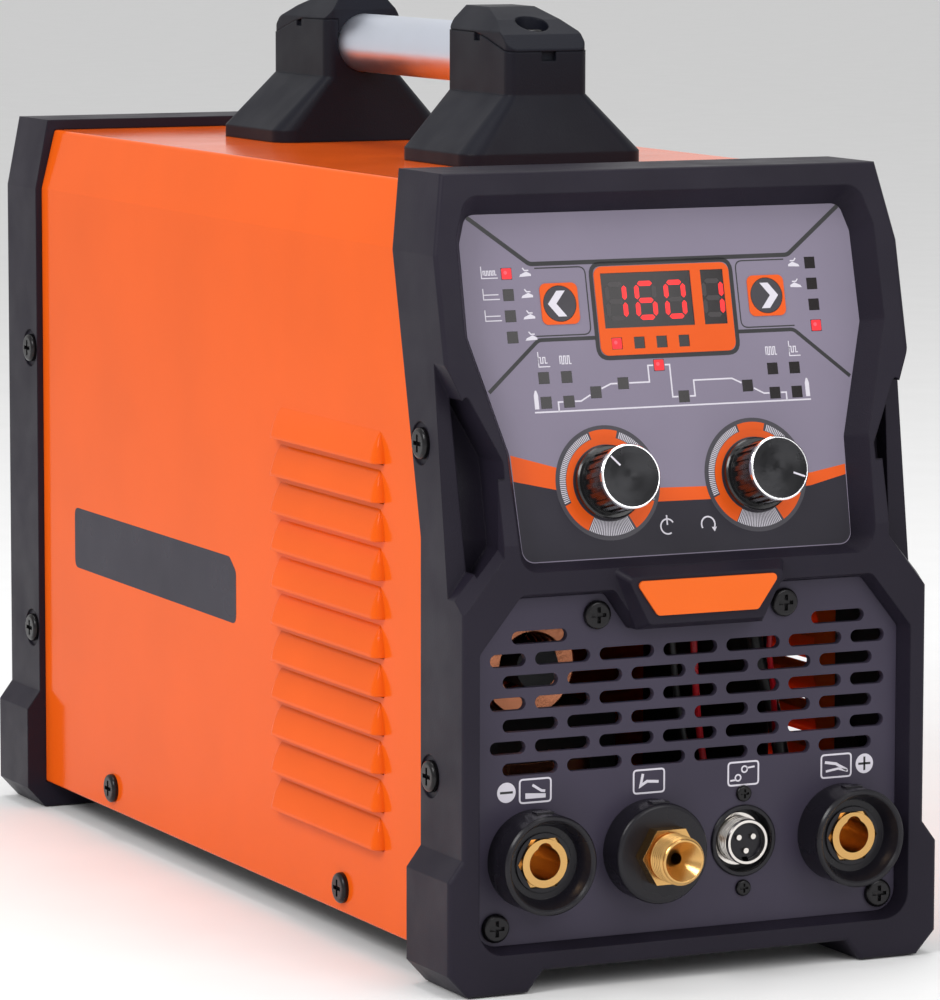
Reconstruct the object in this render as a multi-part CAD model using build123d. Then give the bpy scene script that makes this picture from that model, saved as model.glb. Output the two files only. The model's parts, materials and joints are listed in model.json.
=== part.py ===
"""Portable inverter TIG welding machine, built as separate pieces.

Axes: the front faces -Y, +X is on the right seen from the front, +Z is up.
Each function works with y counted backwards from the front rim plane; save()
shifts the finished piece so that the origin is under the middle of the machine.
All lengths are in millimetres.
"""
from build123d import *
import math
import os

os.makedirs("parts", exist_ok=True)

# ---- driving dimensions ------------------------------------------------------
LENGTH = 486.0            # front rim plane to rear rim plane
REACH = 22.0              # how far the torch and gas fittings stand out at each end
BEZEL_HALF = 100.0        # half width of both moulded end bezels
FOOT_HALF = 106.0         # half width across the flared feet
TOP_HALF = 94.0           # half width of the bezels' flat top
BEZEL_TOP = 310.5         # height of the bezels
SHOULDER_Z = 280.0        # where the sides lean in to the top
BAND = 38.3               # depth of the front bezel's side band
REAR_BAND = 37.0          # depth of the rear bezel's side band
KNEE_Z = 172.0            # above this the front leans back
TILT = 13.53              # lean of the control panel, degrees
WALL = 13.5               # depth of each bezel's front wall, recess walls included
COVER_HALF = 97.0         # outside half width of the sheet cover
COVER_TOP = 306.0
COVER_TOP_HALF = 90.5
COVER_FOOT_Z = 11.2       # lower edge of the cover's sides
COVER_FRONT = 22.0        # the cover's front edge behind the leaning rim
COVER_REAR = LENGTH - 20.0
SHEET = 1.2               # cover and base sheet thickness
LOUVRE_Y = (82.4, 179.6)  # where each louvre's straight lip starts and ends
LOUVRE_TALL = 12.4
LOUVRE_STAND = 4.4        # how far the lip stands out
LOUVRE_TOP = 195.6        # lip of the highest louvre
LOUVRE_PITCH = 15.2
GAP = 0.1                 # assembly gap between fixed pieces
RUNNING = 0.05            # radial clearance of a shaft in its hole

PANEL_Z = 160.0           # the control panel plane passes through this height
PANEL_Y = 7.47            # and this depth
OVERLAY = 0.6             # thickness of the printed overlay
PLATE = 2.4               # thickness of the plate behind it
FLANGE = 2.0              # thickness of the plate's locating flange

SOCKET_X = 67.0           # welding sockets, either side
SOCKET_Z = 50.2
SOCKET_BORE = 6.5         # for a 13 mm plug pin
TORCH_X = -17.6
CONTROL_X = 23.5
GRILLE_Y = 7.5            # front face of the connector panel
PANEL_THICK = 3.0

DIAL_U = 32.0             # knob places on the control panel
DIAL_V = 32.9
BUTTON_U = 44.8
BUTTON_V = 102.6
SHAFT_R = 3.0
PUSH = 0.8                # push travel of each knob
CLICK = 0.5               # travel of each button
SWITCH_TOP = -7.5         # height of the board switches under the buttons

TUBE_R = 12.5             # handle tube
TUBE_Z = 348.4
GRIP_FRONT = 191.5        # the tube shows between the two brackets
GRIP_REAR = 312.5
BRACKET_HALF = 18.0
BRACKET_DEEP = 59.0
TUBE_INSERT = 34.0        # length of tube held inside each bracket
CAP_SCREW = 43.0          # cap screw, measured from the grip side of its bracket
CAP_SEAT = 357.6          # height the cap screw's head sits at
# seam between cap and bracket, as (distance from the grip side, height)
SEAM = [(0, 358.6), (27, 358.2), (36, 356.6), (54, 351.8), (59, 351.2)]

FAN_Z = 150.0
FAN_R = 57.0
SLANT = math.tan(math.radians(TILT))


# ---- helpers -----------------------------------------------------------------
def save(name, shape):
    """Move a piece to the part's own origin and write it."""
    export_step(Pos(0, -LENGTH / 2, 0) * shape, f"parts/{name}.step")


def block(x0, x1, y0, y1, z0, z1):
    centre = Pos((x0 + x1) / 2, (y0 + y1) / 2, (z0 + z1) / 2)
    return centre * Box(abs(x1 - x0), abs(y1 - y0), abs(z1 - z0))


def cut_all(body, cutters):
    """Take the cutters away one after another."""
    for cutter in cutters:
        body -= cutter
    return body


def along_x(radius, x0, x1, y, z):
    return Pos((x0 + x1) / 2, y, z) * Rot(0, 90, 0) * Cylinder(radius, abs(x1 - x0))


def along_y(radius, y0, y1, x, z):
    return Pos(x, (y0 + y1) / 2, z) * Rot(90, 0, 0) * Cylinder(radius, abs(y1 - y0))


def along_z(radius, z0, z1, x, y):
    return Pos(x, y, (z0 + z1) / 2) * Cylinder(radius, abs(z1 - z0))


def face_y(y):
    """A plane across the machine whose sketch axes are x and z."""
    return Plane(origin=(0, y, 0), x_dir=(1, 0, 0), z_dir=(0, -1, 0))


def outline(points, corner=0.0, grow=0.0):
    """A closed sketch, grown sideways and then rounded."""
    sketch = Polygon(*points, align=None)
    if grow:
        sketch = offset(sketch, amount=grow, kind=Kind.INTERSECTION)
    if corner:
        sketch = fillet(sketch.vertices(), corner)
    return sketch


def prism_y(points, y0, y1, corner=0.0, grow=0.0):
    """Points are (x, z); the solid runs from y0 to y1."""
    return sketch_y(outline(points, corner, grow), y0, y1)


def sketch_y(sketch, y0, y1):
    return extrude(face_y(y1) * sketch, amount=y1 - y0, dir=(0, -1, 0))


def connector_outline(corner, grow=0.0):
    """The connector panel's outline, with larger radii at its two lower corners."""
    sketch = offset(Polygon(*CONNECTOR_SHAPE, align=None), amount=grow, kind=Kind.INTERSECTION)
    feet = sketch.vertices().sort_by(Axis.Y)[:2]
    sketch = fillet(feet, CONNECTOR_FOOT + grow)
    upper = [v for v in sketch.vertices() if v.Y > 100]
    return fillet(upper, corner)


def prism_x(points, x0, x1):
    """Points are (y, z); the solid runs from x0 to x1."""
    return extrude(Plane.YZ.offset(x0) * outline(points), amount=x1 - x0, dir=(1, 0, 0))


def turned(profile, x, z):
    """Revolve (radius, y) points about a line along y through (x, z)."""
    return Pos(x, 0, z) * revolve(Polygon(*profile, align=None), Axis.Y)


def hexagon_y(flats, y0, y1, x, z):
    sketch = face_y(y1) * RegularPolygon(flats / math.sqrt(3), 6)
    return Pos(x, 0, z) * extrude(sketch, amount=y1 - y0, dir=(0, -1, 0))


def both_sides(half):
    """Mirror a list of (x, z) points, top to bottom, into a closed outline."""
    return half + [(-x, z) for x, z in reversed(half)]


def lean(z):
    """How far the leaning front sits behind the upright one at height z."""
    return max(0.0, z - KNEE_Z) * SLANT


def slanted(y0, y1, z0, z1):
    """Side view of a slab that follows the front's lean, as (y, z) points."""
    levels = [z0, KNEE_Z, z1] if z0 < KNEE_Z < z1 else [z0, z1]
    front = [(y0 + lean(z), z) for z in levels]
    rear = [(y1 + lean(z), z) for z in reversed(levels)]
    return front + rear


def panel(height=0.0):
    """The control panel plane: u across, v up its slope, height out of it."""
    tilt = math.radians(TILT)
    base = Plane(origin=(0, PANEL_Y, PANEL_Z), x_dir=(1, 0, 0),
                 z_dir=(0, -math.cos(tilt), math.sin(tilt)))
    return base.offset(height)


def panel_plate(points, low, high, corner=0.0, grow=0.0):
    sketch = panel(low) * outline(points, corner, grow)
    return extrude(sketch, amount=high - low, dir=panel().z_dir)


def panel_disc(radius, u, v, low, high):
    return extrude(panel(low) * Pos(u, v) * Circle(radius), amount=high - low)


def panel_box(width, tall, u, v, low, high):
    return extrude(panel(low) * Pos(u, v) * Rectangle(width, tall), amount=high - low)


def window(box, low, high, grow=0.0):
    """A rectangular block on the control panel from (u0, u1, v0, v1)."""
    u0, u1, v0, v1 = box
    width, tall = u1 - u0 + 2 * grow, v1 - v0 + 2 * grow
    return panel_box(width, tall, (u0 + u1) / 2, (v0 + v1) / 2, low, high)


def cross_recess(size, depth):
    """A screwdriver cross, centred, cutting down from z = 0."""
    bar = Box(size, size * 0.24, depth) + Box(size * 0.24, size, depth)
    return Pos(0, 0, -depth / 2) * bar


def pan_screw(head, shank, length, tall=2.4):
    """A pan head screw standing on z = 0 with its shank below."""
    dome = Pos(0, 0, tall / 2) * Cylinder(head, tall)
    dome = fillet(dome.edges().group_by(Axis.Z)[-1], tall * 0.6)
    dome -= Pos(0, 0, tall) * cross_recess(head * 1.1, tall * 0.6)
    return dome + Pos(0, 0, -length / 2) * Cylinder(shank, length)


def facing_front(x, y, z):
    return Pos(x, y, z) * Rot(90, 0, 0)


def facing_rear(x, y, z):
    return Pos(x, y, z) * Rot(-90, 0, 0)


def facing_side(side, x, y, z):
    return Pos(side * x, y, z) * Rot(0, side * 90, 0)


# ---- shared outlines -----------------------------------------------------------
BEZEL_SHAPE = both_sides([
    (TOP_HALF, BEZEL_TOP), (BEZEL_HALF, SHOULDER_Z), (BEZEL_HALF, 53), (FOOT_HALF, 45),
    (FOOT_HALF, 9), (97.7, 0), (72.3, 0), (65.8, 8.1)])
COVER_SHAPE = both_sides([
    (COVER_TOP_HALF, COVER_TOP), (COVER_HALF, SHOULDER_Z), (COVER_HALF, COVER_FOOT_Z)])
OVERLAY_SHAPE = both_sides([(81, 138), (84.6, 127), (85, 91), (72.5, 46), (71, 3.8)])
CONNECTOR_SHAPE = [
    (37.5, 150.8), (27.5, 136.6), (-27.5, 136.6), (-37.5, 150.8), (-74.6, 150.8),
    (-91, 130.6), (-91, 17.5), (91, 17.5), (91, 130.6), (74.6, 150.8)]
CONNECTOR_FOOT = 8.5      # radius of the connector panel's two lower corners
REAR_SHAPE = both_sides([(84, 296), (90, 276), (90, 27), (80, 17)])
NOTCH_SHAPE = [(83, 166.5), (83, 200), (100.2, 240), (112, 240), (112, 145), (100.2, 145)]
POCKET_SHAPE = [(80, 169), (80, 203), (94.6, 233), (91.4, 153.5)]
POCKET_DEPTH = 22.0

DIGIT_WINDOWS = [(-26.4, 12.3, 92.3, 113.6), (16.8, 26.6, 92.3, 113.6)]
DISPLAY_BOX = (-29.2, 29.2, 81.7, 116.3)
LED_SIDE = 4.5
LED_PLACES = (
    [(-66.0, 114.9 - 8.17 * row) for row in range(4)]
    + [(65.5, 114.9 - 8.27 * row) for row in range(4)]
    + [(-22.1 + 9.67 * column, 86.3) for column in range(4)]
    + [(-54.6, 74.3), (-44.9, 74.3), (-54.6, 64.8), (-44.9, 64.8), (-33.1, 67.9),
       (-21.1, 70.9), (-5.0, 77.3), (4.5, 64.7), (32.6, 67.7), (44.3, 73.9),
       (54.0, 73.9), (44.3, 64.4), (54.0, 64.4)])

PANEL_SCREWS = [(-40.5, 142.7), (40.5, 142.7), (-83.3, 24.7), (83.3, 24.7)]
CONTROL_SCREWS = [(CONTROL_X, SOCKET_Z - 18.6), (CONTROL_X, SOCKET_Z + 18.6)]
# side screws as (x of the seat, y, z)
BEZEL_SCREWS = [(99.0, 29.8, 81.0), (99.0, 38.4, 208.0),
                (99.0, 457.5, 81.0), (99.0, 457.5, 208.0)]
COVER_SCREWS = [(97.0, 119.0, 21.6), (97.0, 367.0, 21.6)]
CASE_SCREWS = BEZEL_SCREWS + COVER_SCREWS
CASE_SHANK = 2.4


# ---- moulded bezels --------------------------------------------------------------
def side_screw_holes(screws, length=16.0):
    holes = []
    for side in (-1, 1):
        for x, y, z in screws:
            holes.append(along_x(CASE_SHANK + GAP, side * (x + 2), side * (x - length), y, z))
    return holes


def screw_seats(y0, y1):
    """Shallow round seats for the bezel screws that lie between y0 and y1."""
    seats = []
    for side in (-1, 1):
        for x, y, z in BEZEL_SCREWS:
            if y0 < y < y1:
                seats.append(along_x(8.4, side * x, side * (x + 4), y, z))
    return seats


def notch_cutters(side):
    """Side notch at the waist: a shallow step in the rim, then a deep pocket."""
    shape = [(side * x, z) for x, z in NOTCH_SHAPE]
    raised = [(side * x, z + rise) for (x, z), rise in
              zip(NOTCH_SHAPE, (5, 0, 0, 0, 6, 6))]
    lip = loft([face_y(-1) * outline(shape), face_y(8) * outline(raised)], ruled=True)
    step_side = [(-2, 140), (-2, 245), (27.4, 245), (12.3, 140)]
    step = prism_y(raised, 8, 40) & prism_x(step_side, -115, 115)
    pocket = prism_y([(side * x, z) for x, z in POCKET_SHAPE], 6, 60, corner=1.5)
    depth = prism_x(slanted(0, POCKET_DEPTH, 140, 245), -115, 115)
    return [lip, step, pocket & depth]


def notch_pocket_walls(side):
    """Material behind the rim that the waist pocket is sunk into."""
    x0, x1, x2 = side * 77.6, side * 95.5, side * (COVER_HALF + GAP)
    deep = slanted(WALL - 1, POCKET_DEPTH + 2, 143, 244)
    near = slanted(WALL - 1, COVER_FRONT - 0.5, 143, 244)
    return [prism_x(deep, min(x0, x1), max(x0, x1)), prism_x(near, min(x0, x2), max(x0, x2))]


def control_recess():
    """The opening over the control panel, widening towards the front."""
    low = panel(0) * outline(OVERLAY_SHAPE, 5.0, GAP)
    high = panel(16) * outline(OVERLAY_SHAPE, 9.0, 9.0)
    ledge = -OVERLAY - PLATE - RUNNING
    return loft([low, high], ruled=True) + panel_plate(OVERLAY_SHAPE, ledge, 0, 5.0, GAP)


def flange_room():
    """Clearance behind the opening for the control panel's locating flange."""
    return panel_plate(OVERLAY_SHAPE, -12, -OVERLAY - PLATE - RUNNING, 3.0, 4.3)


def connector_recess():
    """The recess that holds the connector panel, with a ledge behind it."""
    rear_y = GRILLE_Y + PANEL_THICK + GAP
    mouth = loft([face_y(GRILLE_Y) * connector_outline(3.0, GAP),
                  face_y(-1.5) * connector_outline(4.0, 2.6)], ruled=True)
    seat = sketch_y(connector_outline(3.0, GAP), GRILLE_Y, rear_y)
    opening = sketch_y(connector_outline(2.0, -5.0), rear_y, WALL + 2)
    return [mouth, seat, opening]


def badge_chin():
    """The block under the control panel that carries the badge."""
    rear = [(37.4, 161), (27.2, 137.0), (-27.2, 137.0), (-37.4, 161)]
    front = [(34.0, 158), (24.6, 139.6), (-24.6, 139.6), (-34.0, 158)]
    body = prism_y(rear, 0, GRILLE_Y + PANEL_THICK + 2)
    return body + loft([face_y(0) * outline(rear, 2.0), face_y(-6.4) * outline(front, 2.0)],
                       ruled=True)


def front_bezel():
    """Moulded front frame: rim, side bands, recess walls, badge chin and screw bosses."""
    shell = prism_y(BEZEL_SHAPE, -5, 120) & prism_x(slanted(0, BAND, -1, 320), -120, 120)
    rim = [e for e in shell.edges()
           if abs(e.center().Y - lean(e.center().Z)) < 0.1 and e.length > 3
           and (abs(e.center().X) > 60 or abs(e.center().Z - 8.1) < 0.2
                or e.center().Z > BEZEL_TOP - 1)]
    shell = fillet(rim, 1.8)
    shell -= (prism_y(COVER_SHAPE, -5, 120, grow=GAP)
              & prism_x(slanted(WALL, 60, -1, 320), -120, 120))
    for side in (-1, 1):
        for wall in notch_pocket_walls(side):
            shell += wall
    for x, z in PANEL_SCREWS:
        shell += along_y(5.5, GRILLE_Y + PANEL_THICK + GAP, 27, x, z)
    shell = cut_all(shell, [control_recess(), *connector_recess()])
    shell += badge_chin()
    cutters = [flange_room(), *screw_seats(0, 100), *notch_cutters(-1), *notch_cutters(1),
               *side_screw_holes(BEZEL_SCREWS)]
    for x, z in PANEL_SCREWS:
        cutters += [along_y(2.0, 0, 24, x, z), along_y(6.0, 3, GRILLE_Y, x, z)]
    return cut_all(shell, cutters)


def rear_bezel():
    front = LENGTH - REAR_BAND
    shell = prism_y(BEZEL_SHAPE, front, LENGTH)
    rim = [e for e in shell.edges() if abs(e.center().Y - LENGTH) < 0.1]
    shell = fillet(rim, 1.8)
    shell -= prism_y(COVER_SHAPE, front - 1, LENGTH - WALL, grow=GAP)
    mouth = loft([face_y(LENGTH - GRILLE_Y) * outline(REAR_SHAPE, 3.0, GAP),
                  face_y(LENGTH + 1.5) * outline(REAR_SHAPE, 4.0, 2.6)], ruled=True)
    seat_y = LENGTH - GRILLE_Y - PANEL_THICK - GAP
    seat = prism_y(REAR_SHAPE, seat_y, LENGTH - GRILLE_Y, corner=3.0, grow=GAP)
    opening = prism_y(REAR_SHAPE, LENGTH - WALL - 2, seat_y, corner=2.0, grow=-5.0)
    return cut_all(shell, [mouth, seat, opening, *side_screw_holes(BEZEL_SCREWS),
                           *screw_seats(300, 500)])


# ---- sheet metal -----------------------------------------------------------------
def pressed(side, low, tall, stand, depth, drop):
    """Pillow shape of a louvre: a curved lip drawn along y, with turned ends."""
    y0, y1 = LOUVRE_Y
    high = low + tall
    curve = ThreePointArc((0, high), (stand * 0.72, low + tall * 0.5), (stand, low + 1.2))
    half = make_face([curve, Polyline((stand, low + 1.2), (stand, low - drop), (0, low - drop),
                                      (0, high))])
    along = Plane(origin=(COVER_HALF, y0, 0), x_dir=(1, 0, 0), z_dir=(0, -1, 0))
    solid = extrude(along * half, amount=y1 - y0, dir=(0, 1, 0))
    for y in LOUVRE_Y:
        end = Plane(origin=(COVER_HALF, y, 0), x_dir=(1, 0, 0), z_dir=(0, -1, 0))
        solid += revolve(end * half, Axis((COVER_HALF, y, 0), (0, 0, 1)), 360)
    solid += block(COVER_HALF - depth, COVER_HALF, y0, y1, low - drop, high)
    solid &= block(COVER_HALF - depth, COVER_HALF + 20, y0 - 20, y1 + 20, 0, 300)
    return solid if side > 0 else mirror(solid, Plane.YZ)


def louvre(side, low):
    """One pressed louvre, open underneath: the hood to add and the throat to cut."""
    hood = pressed(side, low, LOUVRE_TALL, LOUVRE_STAND, 0.5, 0)
    throat = pressed(side, low, LOUVRE_TALL - 1.8, LOUVRE_STAND - 1.1, SHEET + 0.8, 0.6)
    return hood, throat


def cover():
    inner = both_sides([(COVER_TOP_HALF - SHEET, COVER_TOP - SHEET),
                        (COVER_HALF - SHEET, SHOULDER_Z - 0.1), (COVER_HALF - SHEET, 0)])
    front, rear = COVER_FRONT, COVER_REAR
    sheet = prism_y(COVER_SHAPE, front, rear, corner=1.5) - prism_y(inner, front - 1, rear + 1)
    sheet &= block(-120, 120, front, rear, COVER_FOOT_Z, 320)
    sheet -= prism_x(slanted(-50, front, -1, 330), -120, 120)
    for side in (-1, 1):
        for row in range(11):
            hood, throat = louvre(side, LOUVRE_TOP - LOUVRE_PITCH * row)
            sheet = sheet + hood - throat
    holes = side_screw_holes(CASE_SCREWS)
    holes += [along_z(2.2, 290, 320, x, y) for end in (-1, 1) for x, y in bracket_bolts(end)]
    return cut_all(sheet, holes)


def base_plate():
    """Folded base tray with four corner uprights that take the bezel screws."""
    half, low, high, thick = COVER_HALF - SHEET - 0.2, COVER_FOOT_Z, 236.0, 1.5
    front, rear = 23.0, COVER_REAR + 1.0
    tray = block(-half, half, front + 4, rear, low, low + thick)
    clear = POCKET_DEPTH + 2.5
    front_post = [(front, low), (front, 138), (clear, 142), (clear, KNEE_Z),
                  (clear + lean(high), high), (62, high), (62, low)]
    rear_post = [(rear - 26, low), (rear - 26, high), (rear, high), (rear, low)]
    for side in (-1, 1):
        x0, x1 = sorted((side * half, side * (half - thick)))
        tray += block(x0, x1, front, rear, low, low + 26)
        tray += prism_x(front_post, x0, x1)
        tray += prism_x(rear_post, x0, x1)
    vents = [block(x - 14, x + 14, y, y + 6, low - 1, low + 3)
             for y in range(232, 420, 26) for x in (-40, 0, 40)]
    return cut_all(tray, vents + side_screw_holes(CASE_SCREWS))


# ---- connector panel ---------------------------------------------------------------
def grille_slot(x0, x1, z):
    """A through slot with round ends, 5 mm high."""
    middle = (x0 + x1) / 2
    sketch = Pos(middle, z) * SlotOverall(x1 - x0, 5.0)
    return extrude(face_y(GRILLE_Y + 6) * sketch, amount=8, dir=(0, -1, 0))


def grille_slots():
    top, pitch, column, slot = 135.7, 8.4, 27.35, 23.4
    slots = [grille_slot(side * 64.6 - slot / 2, side * 64.6 + slot / 2, top)
             for side in (-1, 1)]
    for row in (1, 3, 5):
        z = top - pitch * row
        slots += [grille_slot(k * column - slot / 2, k * column + slot / 2, z)
                  for k in (-2, -1, 0, 1, 2)]
        slots += [grille_slot(min(s * 70.4, s * 85.4), max(s * 70.4, s * 85.4), z)
                  for s in (-1, 1)]
    for row in (2, 4, 6):
        z = top - pitch * row
        slots += [grille_slot((k + 0.5) * column - slot / 2, (k + 0.5) * column + slot / 2, z)
                  for k in (-3, -2, -1, 0, 1, 2)]
    return slots


def connector_panel():
    plate = sketch_y(connector_outline(3.0), GRILLE_Y, GRILLE_Y + PANEL_THICK)
    rear = GRILLE_Y + 10
    holes = [along_y(12.1, 0, rear, side * SOCKET_X, SOCKET_Z) for side in (-1, 1)]
    holes.append(along_y(8.7, 0, rear, TORCH_X, SOCKET_Z))
    holes.append(along_y(12.9, 0, rear, CONTROL_X, SOCKET_Z))
    holes += [along_y(2.2, 0, rear, x, z) for x, z in PANEL_SCREWS]
    holes += [along_y(1.4, 0, rear, x, z) for x, z in CONTROL_SCREWS]
    return plate - grille_slots() - holes


def panel_screws():
    screw = pan_screw(5.6, 1.95, 14)
    return [facing_front(x, GRILLE_Y, z) * screw for x, z in PANEL_SCREWS]


def badge_plate():
    shape = [(31.2, 156.6), (21.6, 143.0), (-21.6, 143.0), (-31.2, 156.6)]
    return prism_y(shape, -7.4, -6.4, corner=1.8)


def socket_body(x):
    """Insulating cup of a welding socket, with its neck through the panel."""
    cup = [(9.5, -1.9), (11.6, -1.9), (11.6, -1.0), (14.2, -1.0), (16.9, -8.2), (17.6, -8.9),
           (18.6, -8.9), (19.3, -8.0), (19.3, GRILLE_Y), (12.0, GRILLE_Y), (12.0, 26.0),
           (9.5, 26.0)]
    body = turned(cup, x, SOCKET_Z) + moulding_rib(x, 19.3)
    return body - hexagon_y(18.8, -3, 2.0, x, SOCKET_Z)


def moulding_rib(x, radius):
    """Low rib on top of a round body, in front of the connector panel."""
    top = SOCKET_Z + radius
    return block(x - 3.6, x + 3.6, -3.0, 1.6, top - 1.4, top + 0.4)


def socket_insert(x):
    """Brass contact: sunk hex collar, plug bore with its keyway, and a rear stud."""
    barrel = along_y(9.4, -2.9, 27, x, SOCKET_Z)
    barrel += hexagon_y(18.6, -0.8, 1.9, x, SOCKET_Z)
    barrel += along_y(11.6, 26.2, 31, x, SOCKET_Z) + along_y(5.0, 31, 50, x, SOCKET_Z)
    barrel -= along_y(SOCKET_BORE, -4, 26, x, SOCKET_Z)
    keyway = along_y(3.2, -4, 24, x, SOCKET_Z + 4.7)
    return barrel - keyway


def socket_nut(x):
    return (turned([(12.3, GRILLE_Y + 3.1), (18.2, GRILLE_Y + 3.1), (18.2, 17.0),
                    (12.3, 17.0)], x, SOCKET_Z))


def torch_flange():
    """Round insulating block between the torch fitting and the panel."""
    profile = [(8.2, -5.2), (19.6, -5.2), (19.6, GRILLE_Y), (8.6, GRILLE_Y), (8.6, 14.0),
               (8.2, 14.0)]
    flange = turned(profile, TORCH_X, SOCKET_Z)
    front = flange.edges().filter_by(GeomType.CIRCLE).sort_by(Axis.Y)[:2].sort_by(Edge.length)
    return fillet(front[-1], 1.8) + moulding_rib(TORCH_X, 19.6)


def torch_connector():
    """Brass gas and power fitting: hex, threaded nose and coned mouth, hose barb behind."""
    crest, root, pitch = 9.5, 8.6, 1.5
    nose = [(8.0, -11.5)]
    for turn in range(6):
        y = -12.0 - pitch * turn
        nose += [(root, y), (crest, y - 0.55), (crest, y - 0.85), (root, y - pitch + 0.05)]
    nose += [(8.6, -21.6), (8.3, -REACH), (7.7, -REACH), (2.3, -15.5), (2.3, 36.0),
             (4.2, 36.0), (4.9, 33.0), (4.0, 33.0), (4.9, 30.0), (4.0, 30.0), (4.0, 26.0),
             (8.1, 26.0), (8.1, -11.5)]
    body = turned(nose, TORCH_X, SOCKET_Z)
    hexagon = hexagon_y(21.2, -11.6, -5.3, TORCH_X, SOCKET_Z)
    return body + (hexagon - along_y(5.0, -20, 40, TORCH_X, SOCKET_Z))


def control_shell():
    """Threaded metal barrel of the control connector, with its seating collar."""
    profile = [(7.6, 3.3), (8.6, 3.3)]
    for turn in range(6):
        y = 4.2 + 1.25 * turn
        profile += [(9.0, y), (9.0, y + 0.5), (8.5, y + 0.9)]
    profile += [(8.5, 12.0), (10.3, 12.0), (10.3, 13.5), (8.5, 13.5), (8.5, 26.0), (7.6, 26.0)]
    return turned(profile, CONTROL_X, SOCKET_Z)


def control_cup():
    """Black round surround, sunk through the panel, that seats the control connector."""
    return turned([(12.3, 6.4), (13.6, 6.4), (14.1, 6.9), (14.1, GRILLE_Y - 0.02),
                   (12.8, GRILLE_Y - 0.02), (12.8, 15.2), (8.6, 15.2), (8.6, 13.6),
                   (12.3, 13.6)], CONTROL_X, SOCKET_Z)


def control_insert():
    puck = along_y(7.5, 5.2, 25.0, CONTROL_X, SOCKET_Z)
    puck -= along_y(6.9, 4.0, 6.0, CONTROL_X, SOCKET_Z)
    puck -= [along_y(1.15, 0, 30, x, z) for x, z in control_pin_places()]
    return puck - block(CONTROL_X - 1.2, CONTROL_X + 1.2, 4, 10, SOCKET_Z - 8, SOCKET_Z - 6.2)


def control_pin_places():
    angles = (150, 30, 270)
    return [(CONTROL_X + 3.6 * math.cos(math.radians(a)),
             SOCKET_Z + 3.6 * math.sin(math.radians(a))) for a in angles]


def control_pins():
    return [along_y(1.1, 4.6, 29.0, x, z) for x, z in control_pin_places()]


def connector_screws():
    screw = pan_screw(3.2, 1.3, 8, tall=1.6)
    return [facing_front(x, GRILLE_Y, z) * screw for x, z in CONTROL_SCREWS]


# ---- control panel -------------------------------------------------------------------
def panel_openings(low, high):
    """Everything that passes through the plate and the overlay."""
    holes = [panel_disc(7.05, side * BUTTON_U, BUTTON_V, low, high) for side in (-1, 1)]
    holes += [panel_disc(4.6, side * DIAL_U, DIAL_V, low, high) for side in (-1, 1)]
    holes += [panel_box(LED_SIDE + 0.1, LED_SIDE + 0.1, u, v, low, high)
              for u, v in LED_PLACES]
    holes += [window(box, low, high, grow=0.05) for box in DIGIT_WINDOWS]
    return holes


def control_panel():
    back = -OVERLAY - PLATE
    plate = panel_plate(OVERLAY_SHAPE, back - 0.1, -OVERLAY - 0.02, corner=5.0)
    plate += panel_plate(OVERLAY_SHAPE, back - FLANGE, back - GAP, corner=3.0, grow=4.0)
    return plate - panel_openings(-10, 5)


def panel_overlay():
    return panel_plate(OVERLAY_SHAPE, -OVERLAY, 0, corner=5.0) - panel_openings(-10, 5)


def display_frame():
    u0, u1, v0, v1 = DISPLAY_BOX
    shape = [(u0, v0), (u1, v0), (u1, v1), (u0, v1)]
    return panel_plate(shape, 0.02, 0.32, corner=3.5) - panel_openings(-10, 5)


def display_lens():
    return [window(box, -3.0, -0.1) for box in DIGIT_WINDOWS]


def led_lenses():
    return [panel_box(LED_SIDE, LED_SIDE, u, v, -4.9, 0.05) for u, v in LED_PLACES]


def button_frame(side):
    """Orange raised surround of one arrow button."""
    half, u, v = 8.0, side * BUTTON_U, BUTTON_V
    shape = [(u - half, v - half), (u + half, v - half), (u + half, v + half),
             (u - half, v + half)]
    return panel_plate(shape, 0.02, 0.32, corner=2.6) - panel_disc(7.05, u, v, -1, 1)


def arrow_button(side):
    """Round cap with a shoulder that keeps it behind the panel, and its stem."""
    u, v = side * BUTTON_U, BUTTON_V
    cap = panel_disc(6.9, u, v, -5.2, 0.3) + panel_disc(8.0, u, v, -6.0, -5.2)
    return cap + panel_disc(1.6, u, v, SWITCH_TOP + CLICK + GAP, -6.0)


def control_board():
    """Circuit board with its soldered switches, display and lamp bodies."""
    top = -13.6
    board = panel_plate([(-66, 10), (66, 10), (76, 95), (76, 130), (-76, 130), (-76, 95)],
                        top - 1.6, top)
    parts = [board]
    for side in (-1, 1):
        u, v = side * BUTTON_U, BUTTON_V
        parts.append(panel_box(6.0, 6.0, u, v, top + 0.02, -9.2)
                     + panel_disc(1.6, u, v, -9.2, SWITCH_TOP))
    for box in DIGIT_WINDOWS:
        parts.append(window(box, top + 0.02, -5.3))
    return parts


def encoder_body(side):
    """Fixed rotary encoder housing with its bush through the panel."""
    u, v = side * DIAL_U, DIAL_V
    body = panel_box(12.4, 13.6, u, v, -13.55, -5.2) + panel_disc(4.5, u, v, -5.2, 4.5)
    body -= panel_disc(4.6, u, v, -12.4, -6.6)
    return body - panel_disc(SHAFT_R + RUNNING, u, v, -6.7, 6)


def encoder_plunger(side):
    """Disc that carries the shaft's push to the switch under it."""
    u, v = side * DIAL_U, DIAL_V
    return panel_disc(4.3, u, v, -9.2, -7.1) - panel_disc(1.5 + RUNNING, u, v, -10, -6)


def encoder_shaft(side):
    u, v = side * DIAL_U, DIAL_V
    return panel_disc(1.5, u, v, -10.0, -7.0) + panel_disc(SHAFT_R, u, v, -7.0, 17.0)


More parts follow.
